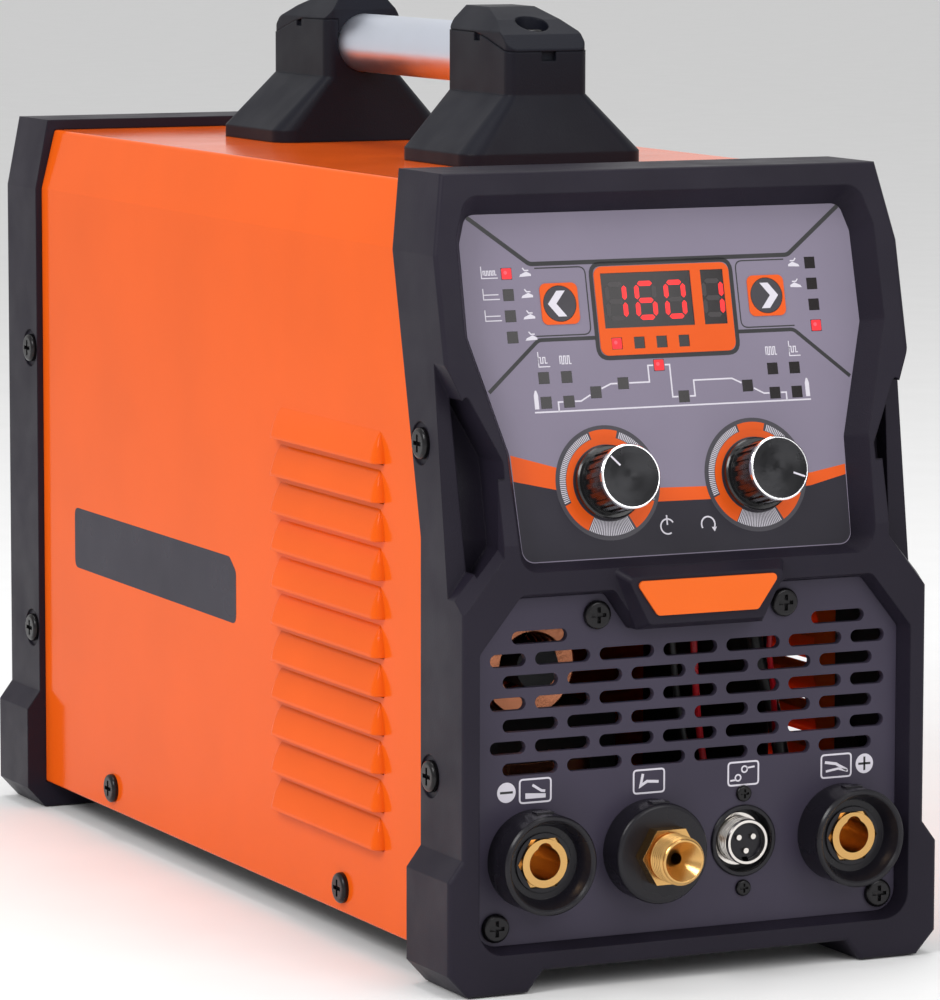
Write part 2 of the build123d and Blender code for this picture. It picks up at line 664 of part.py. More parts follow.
def knob(side):
    """Ribbed knob with a skirt, hollow underneath."""
    u, v, base, top, ribs = side * DIAL_U, DIAL_V, PUSH + 0.5, 18.4, 20
    body = panel_disc(14.3, u, v, base, base + 2.2)
    body = chamfer(body.edges().filter_by(GeomType.CIRCLE).sort_by(Axis.Y)[0:1], 0.6)
    body += panel_disc(12.3, u, v, base + 2.0, top)
    groove = Pos(12.3, 0) * Rectangle(1.2, 1.9)
    for rib in range(ribs):
        spin = Pos(u, v) * Rot(0, 0, 360 / ribs * rib)
        body -= extrude(panel(base + 3.4) * spin * groove, amount=top - base - 4.6)
    body -= panel_disc(9.0, u, v, base - 1, 7.0)
    return body - panel_disc(SHAFT_R + 0.03, u, v, 6, 17.1)


def knob_face(side):
    """Turned metal cap with a raised rim round its spun face."""
    u, v, low, high = side * DIAL_U, DIAL_V, 18.45, 20.4
    disc = panel_disc(12.45, u, v, low, high)
    disc = chamfer(disc.edges().filter_by(GeomType.CIRCLE).sort_by(Axis.Y)[0:1], 0.45)
    return disc - panel_disc(11.7, u, v, high - 0.25, high + 1)


# ---- handle ------------------------------------------------------------------------------
def grip_side(end):
    return GRIP_FRONT if end < 0 else GRIP_REAR


def bracket_centre(end):
    """Middle of a bracket's upper block, for end = -1 (front) or 1 (rear)."""
    return grip_side(end) + end * BRACKET_DEEP / 2


def bracket_bolts(end):
    return [(x, bracket_centre(end) + end * 2) for x in (-27, 27)]


def bracket_side(end, points):
    """Side-view points given as (distance from the grip side, z)."""
    return [(grip_side(end) + end * d, z) for d, z in points]


def handle_level(width, deep, middle, z, corner):
    """A rounded rectangle at height z, for the bracket's lofts."""
    return Plane.XY.offset(z) * Pos(0, middle) * RectangleRounded(width, deep, corner)


def handle_bracket(end):
    """Flared hollow foot and upright block, cut to cradle the tube's lower half."""
    inner, mid = grip_side(end), bracket_centre(end)
    spread, floor = BRACKET_DEEP + 8, COVER_TOP + 0.02
    foot_mid = inner + end * spread / 2
    body = loft([handle_level(80, spread, foot_mid, floor + 5.2, 9.0),
                 handle_level(36.6, BRACKET_DEEP, mid, 334, 5.0)], ruled=True)
    body += extrude(handle_level(80, spread, foot_mid, floor, 9.0), amount=5.2)
    body += extrude(handle_level(2 * BRACKET_HALF, BRACKET_DEEP, mid, 330, 4.5), amount=34)
    below_seam = [(-2, 300), (-2, SEAM[0][1]), *SEAM, (80, SEAM[-1][1]), (80, 300)]
    body &= prism_x(bracket_side(end, below_seam), -60, 60)
    body -= loft([handle_level(66, spread - 14, foot_mid, COVER_TOP - 1, 4.0),
                  handle_level(24, BRACKET_DEEP - 14, mid, 328, 3.0)], ruled=True)
    bolts = bracket_bolts(end)
    for x, y in bolts:
        body += along_z(5.0, floor, 318, x, y)
    depth = inner + end * (TUBE_INSERT + 0.5)
    cutters = [along_y(TUBE_R + RUNNING, inner - end, depth, 0, TUBE_Z),
               block(-TUBE_R, TUBE_R, inner - end, depth, TUBE_Z, 370),
               along_z(2.1, 336, 360, 0, inner + end * CAP_SCREW)]
    cutters += [along_z(2.1, 300, 322, x, y) for x, y in bolts]
    return cut_all(body, cutters + clip_slots(end))


def clip_slots(end):
    """Small recesses just under the seam, in the bracket's outer end and both sides."""
    mid, outer = bracket_centre(end), grip_side(end) + end * BRACKET_DEEP
    slots = [block(-3.2, 3.2, outer - end * 2.6, outer + end * 3, 347.6, 352)]
    for side in (-1, 1):
        slots.append(block(side * 16.4, side * 20, mid - 2.6, mid + 2.6, 355.0, 360))
    return slots


def handle_cap(end):
    """Clamp cap over the tube, chamfered all round, with a deep screw hole."""
    inner, mid = grip_side(end), bracket_centre(end)
    top = [(0, 362.5), (3.0, 368.5), (24, 368.3), (40, 363.5), (52, 358.0), (58.4, 352.4)]
    seam = [(d, z + 0.2) for d, z in SEAM]
    side = bracket_side(end, top + seam[::-1])
    across = [(-17.6, 340), (-17.6, 359.0), (-9.5, 369.5), (9.5, 369.5), (17.6, 359.0),
              (17.6, 340)]
    cap = prism_x(side, -30, 30) & prism_y(across, inner - 100, inner + 100)
    cap &= extrude(handle_level(35.2, BRACKET_DEEP - 0.4, mid, 340, 4.2), amount=40)
    cap += block(0.1 - TUBE_R, TUBE_R - 0.1, inner + end * 0.2, inner + end * TUBE_INSERT,
                 TUBE_Z + 4, 361)
    hole_y = inner + end * CAP_SCREW
    return cut_all(cap, [
        along_y(TUBE_R + RUNNING, inner - end * 2, inner + end * (TUBE_INSERT + 0.5), 0, TUBE_Z),
        along_z(2.3, 340, 380, 0, hole_y), along_z(6.8, CAP_SEAT, 380, 0, hole_y)])


def handle_tube():
    return (along_y(TUBE_R, GRIP_FRONT - TUBE_INSERT, GRIP_REAR + TUBE_INSERT, 0, TUBE_Z)
            - along_y(TUBE_R - 1.6, 0, LENGTH, 0, TUBE_Z))


def handle_screws():
    """Two cap screws down into the brackets and four bolts up through the cover."""
    cap_screw = pan_screw(4.6, 2.0, 15, tall=2.0)
    bolt = Rot(180, 0, 0) * pan_screw(5.0, 2.0, 15)
    screws = []
    for end in (-1, 1):
        seat = Pos(0, grip_side(end) + end * CAP_SCREW, CAP_SEAT + 0.02)
        screws.append(seat * cap_screw)
        screws += [Pos(x, y, COVER_TOP - SHEET - 0.02) * bolt for x, y in bracket_bolts(end)]
    return screws


# ---- rear end --------------------------------------------------------------------------------
REAR_Y = LENGTH - GRILLE_Y        # outside face of the rear panel
SWITCH_X, SWITCH_Z = -48.0, 262.0
ROCKER_THROW = 22.0               # degrees from off to on
GLAND_X, GLAND_Z = 48.0, 262.0
GAS_X, GAS_Z = -62.0, 44.0
FAN_HOLES = [(sx * 52.5, FAN_Z + sz * 52.5) for sx in (-1, 1) for sz in (-1, 1)]


def rear_panel():
    front = REAR_Y - PANEL_THICK
    plate = prism_y(REAR_SHAPE, front, REAR_Y, corner=3.0)
    holes = [along_y(FAN_R, front - 1, LENGTH, 0, FAN_Z),
             block(SWITCH_X - 13.6, SWITCH_X + 13.6, front - 1, LENGTH, SWITCH_Z - 11.1,
                   SWITCH_Z + 11.1),
             along_y(10.2, front - 1, LENGTH, GLAND_X, GLAND_Z),
             along_y(6.6, front - 1, LENGTH, GAS_X, GAS_Z)]
    holes += [along_y(2.2, front - 1, LENGTH, x, z) for x, z in FAN_HOLES]
    return plate - holes


def fan_guard():
    """Wire finger guard: rings on four spokes, on the outside of the rear panel."""
    wire, y = 1.0, REAR_Y + 4.0
    guard = along_y(8.0, y - 1, y + 1, 0, FAN_Z)
    for radius in (16, 24, 32, 40, 48, 56):
        guard += Pos(0, y, FAN_Z) * Rot(90, 0, 0) * Torus(radius, wire)
    for turn in range(4):
        arm = along_x(1.2, 6, 68.6, 0, 0)
        foot = along_y(1.2, -4.0, 0, 68.6, 0)
        eye = along_y(4.2, -4.0, -2.4, 74.25, 0) + block(67.4, 74, -4.0, -2.4, -1.4, 1.4)
        eye -= along_y(2.2, -6, 1, 74.25, 0)
        spoke = Rot(0, 45 + 90 * turn, 0) * (arm + foot + eye)
        guard += Pos(0, y, FAN_Z) * spoke
    return guard


def fan_frame():
    """Square fan housing with the motor stator held by four struts."""
    front, rear = REAR_Y - PANEL_THICK - 25.1, REAR_Y - PANEL_THICK - 0.1
    body = block(-60, 60, front, rear, FAN_Z - 60, FAN_Z + 60)
    body = fillet(body.edges().filter_by(Axis.Y), 5)
    body -= along_y(FAN_R, front - 1, rear + 1, 0, FAN_Z)
    stator = along_y(20.0, front, front + 3, 0, FAN_Z) + along_y(14.0, front, front + 14, 0, FAN_Z)
    for turn in range(4):
        strut = block(18, FAN_R + 1, -1.5, 1.5, -2.5, 2.5)
        stator += Pos(0, front + 1.5, FAN_Z) * Rot(0, 45 + 90 * turn, 0) * strut
    stator -= along_y(1.5 + RUNNING, front - 1, front + 20, 0, FAN_Z)
    body += stator
    return cut_all(body, [along_y(2.2, front - 1, rear + 1, x, z) for x, z in FAN_HOLES])


def fan_rotor():
    """Cup over the stator, its shaft, and seven twisted blades."""
    front = REAR_Y - PANEL_THICK - 25.1
    cup = along_y(19.0, front + 3.4, front + 23, 0, FAN_Z)
    cup -= along_y(15.0, front + 3, front + 21, 0, FAN_Z)
    cup += along_y(1.5, front + 0.5, front + 22, 0, FAN_Z)
    blades = []
    for turn in range(7):
        blade = Pos(36.5, 0, 0) * Rot(38, 0, 0) * Box(38.0, 2.0, 22.0)
        blades.append(Pos(0, front + 13.5, FAN_Z) * Rot(0, 360 / 7 * turn, 0) * blade)
    sweep_room = along_y(FAN_R - 1.5, front + 3.6, front + 23.4, 0, FAN_Z)
    for blade in blades:
        cup += blade & sweep_room
    return cup


def switch_body():
    """Rocker switch housing clipped into the rear panel."""
    x, z = SWITCH_X, SWITCH_Z
    body = block(x - 15.5, x + 15.5, REAR_Y + 0.02, REAR_Y + 2, z - 13, z + 13)
    body += block(x - 13.5, x + 13.5, REAR_Y - 24, REAR_Y + 2, z - 11, z + 11)
    body -= block(x - 11.4, x + 11.4, REAR_Y - 12, REAR_Y + 3, z - 9.4, z + 9.4)
    tabs = [block(x + k - 3, x + k + 3, REAR_Y - 34, REAR_Y - 23.9, z - 0.4, z + 0.4)
            for k in (-8, 8)]
    pin = along_x(1.5, x - 11.5, x + 11.5, REAR_Y - 2.5, z)
    return body + pin + tabs[0] + tabs[1]


def switch_rocker():
    """Rocker on its pin; at rest it is in the off position with its top out."""
    side = [(-4, -5), (2, -9), (5.2, -7.6), (4.4, 0), (5.2, 7.6), (2, 9), (-4, 5)]
    rocker = prism_x(side, -11.1, 11.1) - along_x(1.5 + RUNNING, -12, 12, 0, 0)
    return Pos(SWITCH_X, REAR_Y - 2.5, SWITCH_Z) * Rot(-ROCKER_THROW / 2, 0, 0) * rocker


def cord_gland():
    """Mains inlet gland: flange, clamping nut and the bore for the cord."""
    profile = [(6.0, REAR_Y + 20), (9.0, REAR_Y + 20), (11.5, REAR_Y + 17), (11.5, REAR_Y + 7),
               (14.0, REAR_Y + 6), (14.0, REAR_Y + 0.02), (10.0, REAR_Y + 0.02),
               (10.0, REAR_Y - 14), (6.0, REAR_Y - 14)]
    gland = turned(profile, GLAND_X, GLAND_Z)
    flats = hexagon_y(24.0, REAR_Y + 6.5, REAR_Y + 15.5, GLAND_X, GLAND_Z)
    return gland + (flats - along_y(6.0, 0, 600, GLAND_X, GLAND_Z))


def gas_inlet():
    """Brass inlet nipple for the shielding gas hose, barbed at both ends."""
    tip = LENGTH + REACH
    profile = [(2.4, tip), (3.6, tip), (4.6, tip - 4), (3.9, tip - 4), (4.6, tip - 8),
               (3.9, tip - 8), (3.9, tip - 13), (6.0, tip - 14), (6.0, REAR_Y + 6),
               (9.0, REAR_Y + 6), (9.0, REAR_Y + 0.02), (6.4, REAR_Y + 0.02),
               (6.4, REAR_Y - 10), (4.0, REAR_Y - 10), (4.0, REAR_Y - 19), (4.6, REAR_Y - 19),
               (4.0, REAR_Y - 23), (2.4, REAR_Y - 23)]
    nipple = turned(profile, GAS_X, GAS_Z)
    flats = hexagon_y(17.0, REAR_Y + 0.02, REAR_Y + 6, GAS_X, GAS_Z)
    return nipple + (flats - along_y(5.0, 0, 600, GAS_X, GAS_Z))


def rear_screws():
    """Screws that hold the fan and its guard."""
    screw = pan_screw(4.0, 2.0, 20, tall=2.0)
    return [facing_rear(x, REAR_Y + 1.7, z) * screw for x, z in FAN_HOLES]


# ---- inside ---------------------------------------------------------------------------------
BOARD_Z = 214.0


def heat_sinks():
    """Two finned extrusions in the fan's air stream, one standing on the other."""
    y0, y1, tray_top = 230, 385, COVER_FOOT_Z + 1.52
    sinks = []
    for low, foot, head in ((66.0, tray_top, 126.0), (140.0, 126.02, BOARD_Z - 0.02)):
        body = block(-52, 52, y0, y1, low, low + 60)
        body -= [block(-47.5 + 7 * k, -43.5 + 7 * k, y0 - 1, y1 + 1, low + 8, low + 52)
                 for k in range(14)]
        for side in (-1, 1):
            body += block(side * 48, side * 52, y0, y1, foot, low + 1)
            if head > low + 60:
                body += block(side * 48, side * 52, y0, y1, low + 59, head)
        sinks.append(body)
    return sinks


def power_board():
    board = block(-70, 84, 110, 420, BOARD_Z, BOARD_Z + 1.6)
    return board - [along_z(2.1, BOARD_Z - 1, BOARD_Z + 3, x, y)
                    for x in (-64, 78) for y in (118, 412)]


def capacitors():
    return [along_z(17.5, BOARD_Z + 1.62, BOARD_Z + 47, x, y)
            for x in (-40, 0, 40) for y in (330, 372)]


def transformer_core():
    """Ferrite core of the main transformer, standing on the tray."""
    low = COVER_FOOT_Z + 1.52
    core = block(-40, 40, 150, 205, low, low + 66)
    core -= block(-26, 26, 149, 206, low + 14, low + 52)
    core += block(-9, 9, 150, 205, low + 10, low + 56)
    return core


def transformer_winding():
    low = COVER_FOOT_Z + 1.52
    outer = block(-24, 24, 134, 221, low + 16, low + 50)
    outer = fillet(outer.edges().filter_by(Axis.Z), 10)
    return outer - block(-9.3, 9.3, 149.5, 205.5, low, low + 70)


CHOKE_X, CHOKE_Z = -51.0, 119.0
CHOKE_Y = (40.0, 99.4)    # the winding's front and rear ends
CHOKE_TURNS = 9


def choke_core():
    """Ferrite bar of the output choke, held by a plate that stands on the tray."""
    front, rear = CHOKE_Y
    bar = along_y(9.0, front - 3, rear + 4, CHOKE_X, CHOKE_Z)
    plate = block(CHOKE_X - 14, CHOKE_X + 14, rear + 2, rear + 5, 60, CHOKE_Z + 14)
    return bar + plate + block(CHOKE_X - 14, CHOKE_X - 4, rear + 2, rear + 5, 12.8, 60)


def choke_coil():
    """Thick copper winding round the choke bar, one ridge for each turn."""
    front, rear = CHOKE_Y
    pitch, inner, root, crest = (rear - front) / CHOKE_TURNS, 12.0, 18.0, 21.0
    profile = [(inner, rear), (inner, front)]
    for turn in range(CHOKE_TURNS):
        y = front + pitch * turn
        profile += [(root, y + 0.1), (crest, y + 1.4), (crest, y + pitch - 1.4),
                    (root, y + pitch - 0.1)]
    return turned(profile, CHOKE_X, CHOKE_Z)


VALVE_X, VALVE_Y, VALVE_Z = -62.0, 405.0, 44.0


def gas_valve():
    """Solenoid valve body and coil, with a guide bore for its plunger."""
    x, y, z = VALVE_X, VALVE_Y, VALVE_Z
    body = block(x - 10, x + 10, y - 14, y + 14, z - 12, z + 10)
    body += along_z(13.0, z + 10, z + 46, x, y)
    body += along_y(4.0, y - 24, y - 13.9, x, z) + along_y(4.0, y + 13.9, y + 24, x, z)
    body -= along_z(5.0 + RUNNING, z + 4, z + 40, x, y)
    return body - along_y(2.0, y - 30, y + 30, x, z)


def valve_plunger():
    x, y, z = VALVE_X, VALVE_Y, VALVE_Z
    return along_z(5.0, z + 5, z + 35, x, y)


HOSE_R = 6.3
HOSE_BORE = 5.0


def gas_hoses():
    """Inlet hose to the valve, and the long hose to the torch fitting."""
    inlet = along_y(HOSE_R, VALVE_Y + 14.2, REAR_Y - 10.2, GAS_X, GAS_Z)
    inlet -= along_y(HOSE_BORE, 400, 500, GAS_X, GAS_Z)
    route = [(VALVE_X, VALVE_Y - 14.2, VALVE_Z), (VALVE_X, 330, VALVE_Z), (VALVE_X, 240, 22),
             (-56, 120, 22), (TORCH_X - 2, 78, 34), (TORCH_X, 50, SOCKET_Z),
             (TORCH_X, 26.2, SOCKET_Z)]
    path = FilletPolyline(*route, radius=(60, 80, 60, 20, 18))
    start = Plane(origin=path @ 0, z_dir=path % 0)
    ring = start * (Circle(HOSE_R) - Circle(HOSE_BORE))
    return [inlet, sweep(ring, path)]


# ---- write every piece --------------------------------------------------------------------------
def case_screws():
    """Pan head screws in the sides: into the bezels and low on the cover."""
    screw = pan_screw(6.2, CASE_SHANK, 13, tall=2.6)
    return [facing_side(side, x, y, z) * screw
            for side in (-1, 1) for x, y, z in CASE_SCREWS]


def group(solids):
    return Compound(children=list(solids))


def main():
    pieces = {
        "front_bezel": front_bezel(),
        "rear_bezel": rear_bezel(),
        "cover": cover(),
        "base_plate": base_plate(),
        "case_screws": group(case_screws()),
        "connector_panel": connector_panel(),
        "m4_screws": group(panel_screws() + rear_screws()),
        "badge_plate": badge_plate(),
        "torch_flange": torch_flange(),
        "torch_connector": torch_connector(),
        "control_connector_cup": control_cup(),
        "control_connector_shell": control_shell(),
        "control_connector_insert": control_insert(),
        "control_connector_pins": group(control_pins()),
        "connector_screws": group(connector_screws()),
        "socket_nuts": group(socket_nut(side * SOCKET_X) for side in (-1, 1)),
        "control_panel": control_panel(),
        "panel_overlay": panel_overlay(),
        "panel_trim": group([display_frame(), button_frame(-1), button_frame(1)]),
        "indicator_lenses": group(display_lens() + led_lenses()),
        "control_board": group(control_board()),
        "encoder_bodies": group(encoder_body(side) for side in (-1, 1)),
        "handle_tube": handle_tube(),
        "handle_screws": group(handle_screws()),
        "rear_panel": rear_panel(),
        "fan_guard": fan_guard(),
        "fan_frame": fan_frame(),
        "fan_rotor": fan_rotor(),
        "power_switch_body": switch_body(),
        "power_switch_rocker": switch_rocker(),
        "cord_gland": cord_gland(),
        "gas_inlet": gas_inlet(),
        "heat_sinks": group(heat_sinks()),
        "power_board": power_board(),
        "capacitors": group(capacitors()),
        "transformer_core": transformer_core(),
        "transformer_winding": transformer_winding(),
        "choke_core": choke_core(),
        "choke_coil": choke_coil(),
        "gas_valve": gas_valve(),
        "valve_plunger": valve_plunger(),
        "gas_hoses": group(gas_hoses()),
    }
    for side, word in ((-1, "negative"), (1, "positive")):
        pieces[f"{word}_socket_body"] = socket_body(side * SOCKET_X)
        pieces[f"{word}_socket_insert"] = socket_insert(side * SOCKET_X)
    for side, word in ((-1, "left"), (1, "right")):
        pieces[f"{word}_button"] = arrow_button(side)
        pieces[f"{word}_encoder_plunger"] = encoder_plunger(side)
        pieces[f"{word}_encoder_shaft"] = encoder_shaft(side)
        pieces[f"{word}_knob"] = knob(side)
        pieces[f"{word}_knob_face"] = knob_face(side)
    for end, word in ((-1, "front"), (1, "rear")):
        pieces[f"{word}_handle_bracket"] = handle_bracket(end)
        pieces[f"{word}_handle_cap"] = handle_cap(end)
    for name, shape in pieces.items():
        save(name, shape)
    print(len(pieces), "pieces written")


main()
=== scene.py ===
import json
import math

import bmesh
import bpy
from mathutils import Matrix, Vector


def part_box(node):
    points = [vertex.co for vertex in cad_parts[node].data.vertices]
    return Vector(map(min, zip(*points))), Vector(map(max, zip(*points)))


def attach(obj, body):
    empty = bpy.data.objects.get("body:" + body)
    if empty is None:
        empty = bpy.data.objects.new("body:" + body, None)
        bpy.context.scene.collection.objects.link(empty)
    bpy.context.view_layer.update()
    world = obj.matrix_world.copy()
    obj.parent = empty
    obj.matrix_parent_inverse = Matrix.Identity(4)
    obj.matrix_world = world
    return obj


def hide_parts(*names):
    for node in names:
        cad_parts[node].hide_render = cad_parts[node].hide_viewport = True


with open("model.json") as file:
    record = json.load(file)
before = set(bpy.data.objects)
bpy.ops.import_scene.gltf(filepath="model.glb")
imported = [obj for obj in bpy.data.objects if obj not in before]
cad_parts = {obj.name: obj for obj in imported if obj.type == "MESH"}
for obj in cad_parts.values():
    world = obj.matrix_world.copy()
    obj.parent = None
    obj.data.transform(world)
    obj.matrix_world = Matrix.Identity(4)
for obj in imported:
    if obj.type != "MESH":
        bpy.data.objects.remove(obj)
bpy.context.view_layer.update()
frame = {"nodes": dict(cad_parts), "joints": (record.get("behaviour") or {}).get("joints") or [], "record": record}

MM = 0.001
ROOT = "machine"
nodes = frame["nodes"]
joints = {joint["name"]: joint for joint in frame["joints"]}
scene = bpy.context.scene

# ---- places taken from the frame -------------------------------------------------
# Millimetres across and up the control panel from DATUM, a point on its middle line.
DIAL_U, DIAL_V = 32.0, 32.9
BUTTON_U, BUTTON_V = 44.8, 102.6
DISPLAY_V = BUTTON_V
SOCKET_X, SOCKET_Z = 67.0, 50.2   # welding sockets, either side of the middle, mm
COVER_OUT = 1.4                   # from the base tray's sides to the outside of the cover, mm
NORMAL = Vector(joints["left_dial_turn"]["axis"])
UP = Vector((0, NORMAL.z, -NORMAL.y))
dial_centres = [Vector(joints[f"{side}_dial_turn"]["pos_m"]) for side in ("left", "right")]
DATUM = (dial_centres[0] + dial_centres[1]) / 2 - UP * DIAL_V * MM
FRONT_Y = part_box("connector_panel")[0][1]
SIDE_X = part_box("base_plate")[1][0] + COVER_OUT * MM


def on_panel(u, v, height):
    """A point on the leaning control panel, from millimetres across, up and out."""
    return DATUM + Vector((u * MM, 0, 0)) + UP * v * MM + NORMAL * height * MM


def on_front(x, z, height):
    """A point on the upright connector panel, from millimetres."""
    return Vector((x * MM, FRONT_Y - height * MM, z * MM))


def on_side(side):
    """Places points on one side of the cover, from millimetres along and up."""
    def place(y, z, height):
        return Vector((side * (SIDE_X + height * MM), y * MM, z * MM))
    return place


def plain(x, y, z):
    """A point in the frame, from millimetres."""
    return Vector((x * MM, y * MM, z * MM))


# ---- materials --------------------------------------------------------------------
def noise(tree, coords, scale):
    """Noise of 0 to 1; the scale is roughly the number of blotches to a metre."""
    node = tree.nodes.new("ShaderNodeTexNoise")
    node.inputs["Scale"].default_value = scale
    node.inputs["Detail"].default_value = 2.0
    tree.links.new(coords, node.inputs["Vector"])
    return node.outputs["Fac"]


def spread(tree, value, low, high):
    """Stretches the middle of a 0 to 1 texture over the range low to high."""
    node = tree.nodes.new("ShaderNodeMapRange")
    node.inputs["From Min"].default_value = 0.3
    node.inputs["From Max"].default_value = 0.7
    node.inputs["To Min"].default_value = low
    node.inputs["To Max"].default_value = high
    tree.links.new(value, node.inputs["Value"])
    return node.outputs["Result"]


TONE_SCALE, GLOSS_SCALE = 18, 45


def finish_of(name, color, rough, metal=0.0, grain=1500, bump=0.05, vary=0.12, coat=0.0,
              edge=0.0, stretch=(1, 1, 1), specular=0.5, anisotropy=0.0):
    """A procedural finish: tone and gloss vary slowly, fine grain bumps the surface."""
    made = bpy.data.materials.new(name)
    made.use_nodes = True
    tree = made.node_tree
    shader = tree.nodes["Principled BSDF"]
    shader.inputs["Metallic"].default_value = metal
    shader.inputs["Coat Weight"].default_value = coat
    shader.inputs["Coat Roughness"].default_value = 0.04
    shader.inputs["Specular IOR Level"].default_value = specular
    shader.inputs["Anisotropic"].default_value = anisotropy
    coords = tree.nodes.new("ShaderNodeTexCoord").outputs["Object"]
    mapping = tree.nodes.new("ShaderNodeMapping")
    mapping.inputs["Scale"].default_value = stretch
    tree.links.new(coords, mapping.inputs["Vector"])
    grained = mapping.outputs["Vector"]
    mix = tree.nodes.new("ShaderNodeMix")
    mix.data_type = "RGBA"
    mix.inputs["A"].default_value = [c * (1 - vary) for c in color] + [1]
    mix.inputs["B"].default_value = [min(1, c * (1 + vary)) for c in color] + [1]
    tree.links.new(spread(tree, noise(tree, coords, TONE_SCALE), 0, 1), mix.inputs["Factor"])
    tree.links.new(mix.outputs["Result"], shader.inputs["Base Color"])
    gloss = spread(tree, noise(tree, coords, GLOSS_SCALE), rough * 0.86, min(1, rough * 1.14))
    tree.links.new(gloss, shader.inputs["Roughness"])
    bumps = tree.nodes.new("ShaderNodeBump")
    bumps.inputs["Strength"].default_value = bump
    bumps.inputs["Distance"].default_value = 0.2 * MM
    tree.links.new(noise(tree, grained, grain), bumps.inputs["Height"])
    if edge:
        bevel = tree.nodes.new("ShaderNodeBevel")
        bevel.samples = 4
        bevel.inputs["Radius"].default_value = edge * MM
        tree.links.new(bevel.outputs["Normal"], bumps.inputs["Normal"])
    tree.links.new(bumps.outputs["Normal"], shader.inputs["Normal"])
    return made


def glow(name, color, strength):
    """A lit lamp or display segment, shining in its own colour; it also makes the glowing painted highlight on the
    lamps.
    """
    made = finish_of(name, color, 0.4, grain=3000, bump=0.02)
    shader = made.node_tree.nodes["Principled BSDF"]
    shader.inputs["Emission Color"].default_value = [*color, 1]
    shader.inputs["Emission Strength"].default_value = strength
    return made


FINISH = {
    "bezel_plastic": finish_of("bezel_plastic", (0.0150, 0.0122, 0.0210), 0.46, bump=0.35,
                               edge=0.9, specular=0.15),
    "orange_paint": finish_of("orange_paint", (0.82, 0.112, 0.007), 0.13, grain=420, bump=0.02,
                              vary=0.03, edge=0.5, specular=0.07),
    "base_steel": finish_of("base_steel", (0.016, 0.016, 0.018), 0.45, bump=0.15, edge=0.4),
    "panel_steel": finish_of("panel_steel", (0.0440, 0.0370, 0.0600), 0.40, bump=0.10, edge=0.4,
                             specular=0.22),
    "screw_steel": finish_of("screw_steel", (0.0105, 0.0095, 0.0110), 0.26, metal=0.5, bump=0.1,
                             edge=0.3),
    "black_screw": finish_of("black_screw", (0.0090, 0.0085, 0.0095), 0.28, metal=0.5, edge=0.2),
    "badge_orange": finish_of("badge_orange", (0.84, 0.135, 0.012), 0.22, grain=600, bump=0.02,
                              vary=0.03, edge=0.3, specular=0.2),
    "black_plastic": finish_of("black_plastic", (0.0085, 0.0075, 0.0110), 0.28, bump=0.08,
                               edge=0.5, specular=0.3),
    "brass": finish_of("brass", (0.62, 0.365, 0.130), 0.24, metal=1.0, grain=2500, bump=0.10,
                       edge=0.15, stretch=(1, 0.25, 1)),
    "nickel": finish_of("nickel", (0.74, 0.70, 0.66), 0.20, metal=1.0, grain=2500, bump=0.08,
                        edge=0.15),
    "overlay_print": finish_of("overlay_print", (0.215, 0.188, 0.255), 0.42, grain=2600,
                               bump=0.06, vary=0.04, specular=0.25),
    "trim_orange": finish_of("trim_orange", (0.76, 0.098, 0.008), 0.35, grain=2600, bump=0.04,
                             vary=0.03, specular=0.18),
    "lens": finish_of("lens", (0.010, 0.007, 0.008), 0.10, grain=900, bump=0.01, vary=0.05,
                      specular=0.3),
    "board": finish_of("board", (0.015, 0.09, 0.04), 0.35, edge=0.2),
    "switch_plastic": finish_of("switch_plastic", (0.012, 0.012, 0.013), 0.40, edge=0.3),
    "rocker_plastic": finish_of("rocker_plastic", (0.010, 0.010, 0.011), 0.22, edge=0.5),
    "button_plastic": finish_of("button_plastic", (0.020, 0.016, 0.024), 0.35, bump=0.04,
                                edge=0.3),
    "knob_plastic": finish_of("knob_plastic", (0.006, 0.006, 0.007), 0.24, bump=0.03, coat=0.2,
                              edge=0.3),
    "knob_metal": finish_of("knob_metal", (0.85, 0.85, 0.87), 0.12, metal=1.0, edge=0.15),
    "handle_aluminium": finish_of("handle_aluminium", (0.80, 0.84, 0.94), 0.33, metal=1.0,
                                  grain=1800, bump=0.12, vary=0.05, stretch=(1, 0.05, 1)),
    "handle_plastic": finish_of("handle_plastic", (0.0075, 0.0082, 0.0140), 0.44, bump=0.35,
                                edge=1.2, specular=0.13),
    "chrome_wire": finish_of("chrome_wire", (0.75, 0.75, 0.77), 0.14, metal=1.0),
    "fan_plastic": finish_of("fan_plastic", (0.020, 0.020, 0.022), 0.40, edge=0.4),
    "sink_aluminium": finish_of("sink_aluminium", (0.30, 0.30, 0.32), 0.40, metal=1.0,
                                stretch=(1, 0.1, 1)),
    "capacitor_sleeve": finish_of("capacitor_sleeve", (0.02, 0.03, 0.09), 0.28, edge=0.5),
    "ferrite": finish_of("ferrite", (0.012, 0.012, 0.014), 0.60, bump=0.3, edge=0.6),
    "copper": finish_of("copper", (0.78, 0.30, 0.16), 0.28, metal=1.0, grain=900, bump=0.25,
                        vary=0.2, edge=0.3),
    "valve_brass": finish_of("valve_brass", (0.60, 0.42, 0.20), 0.35, metal=1.0, edge=0.3),
    "plunger_steel": finish_of("plunger_steel", (0.50, 0.50, 0.50), 0.25, metal=1.0),
    "hose_rubber": finish_of("hose_rubber", (0.020, 0.020, 0.020), 0.55, bump=0.2),
}
WHITE = finish_of("print_white", (0.66, 0.63, 0.70), 0.45, grain=2600, vary=0.03)
INK = finish_of("print_ink", (0.0060, 0.0055, 0.0080), 0.40, grain=2600, vary=0.05)
CHARCOAL = finish_of("print_charcoal", (0.0200, 0.0175, 0.0270), 0.40, grain=2600, bump=0.12,
                     specular=0.22)
RING_GREY = finish_of("print_ring", (0.036, 0.032, 0.044), 0.40, grain=2600, vary=0.05)
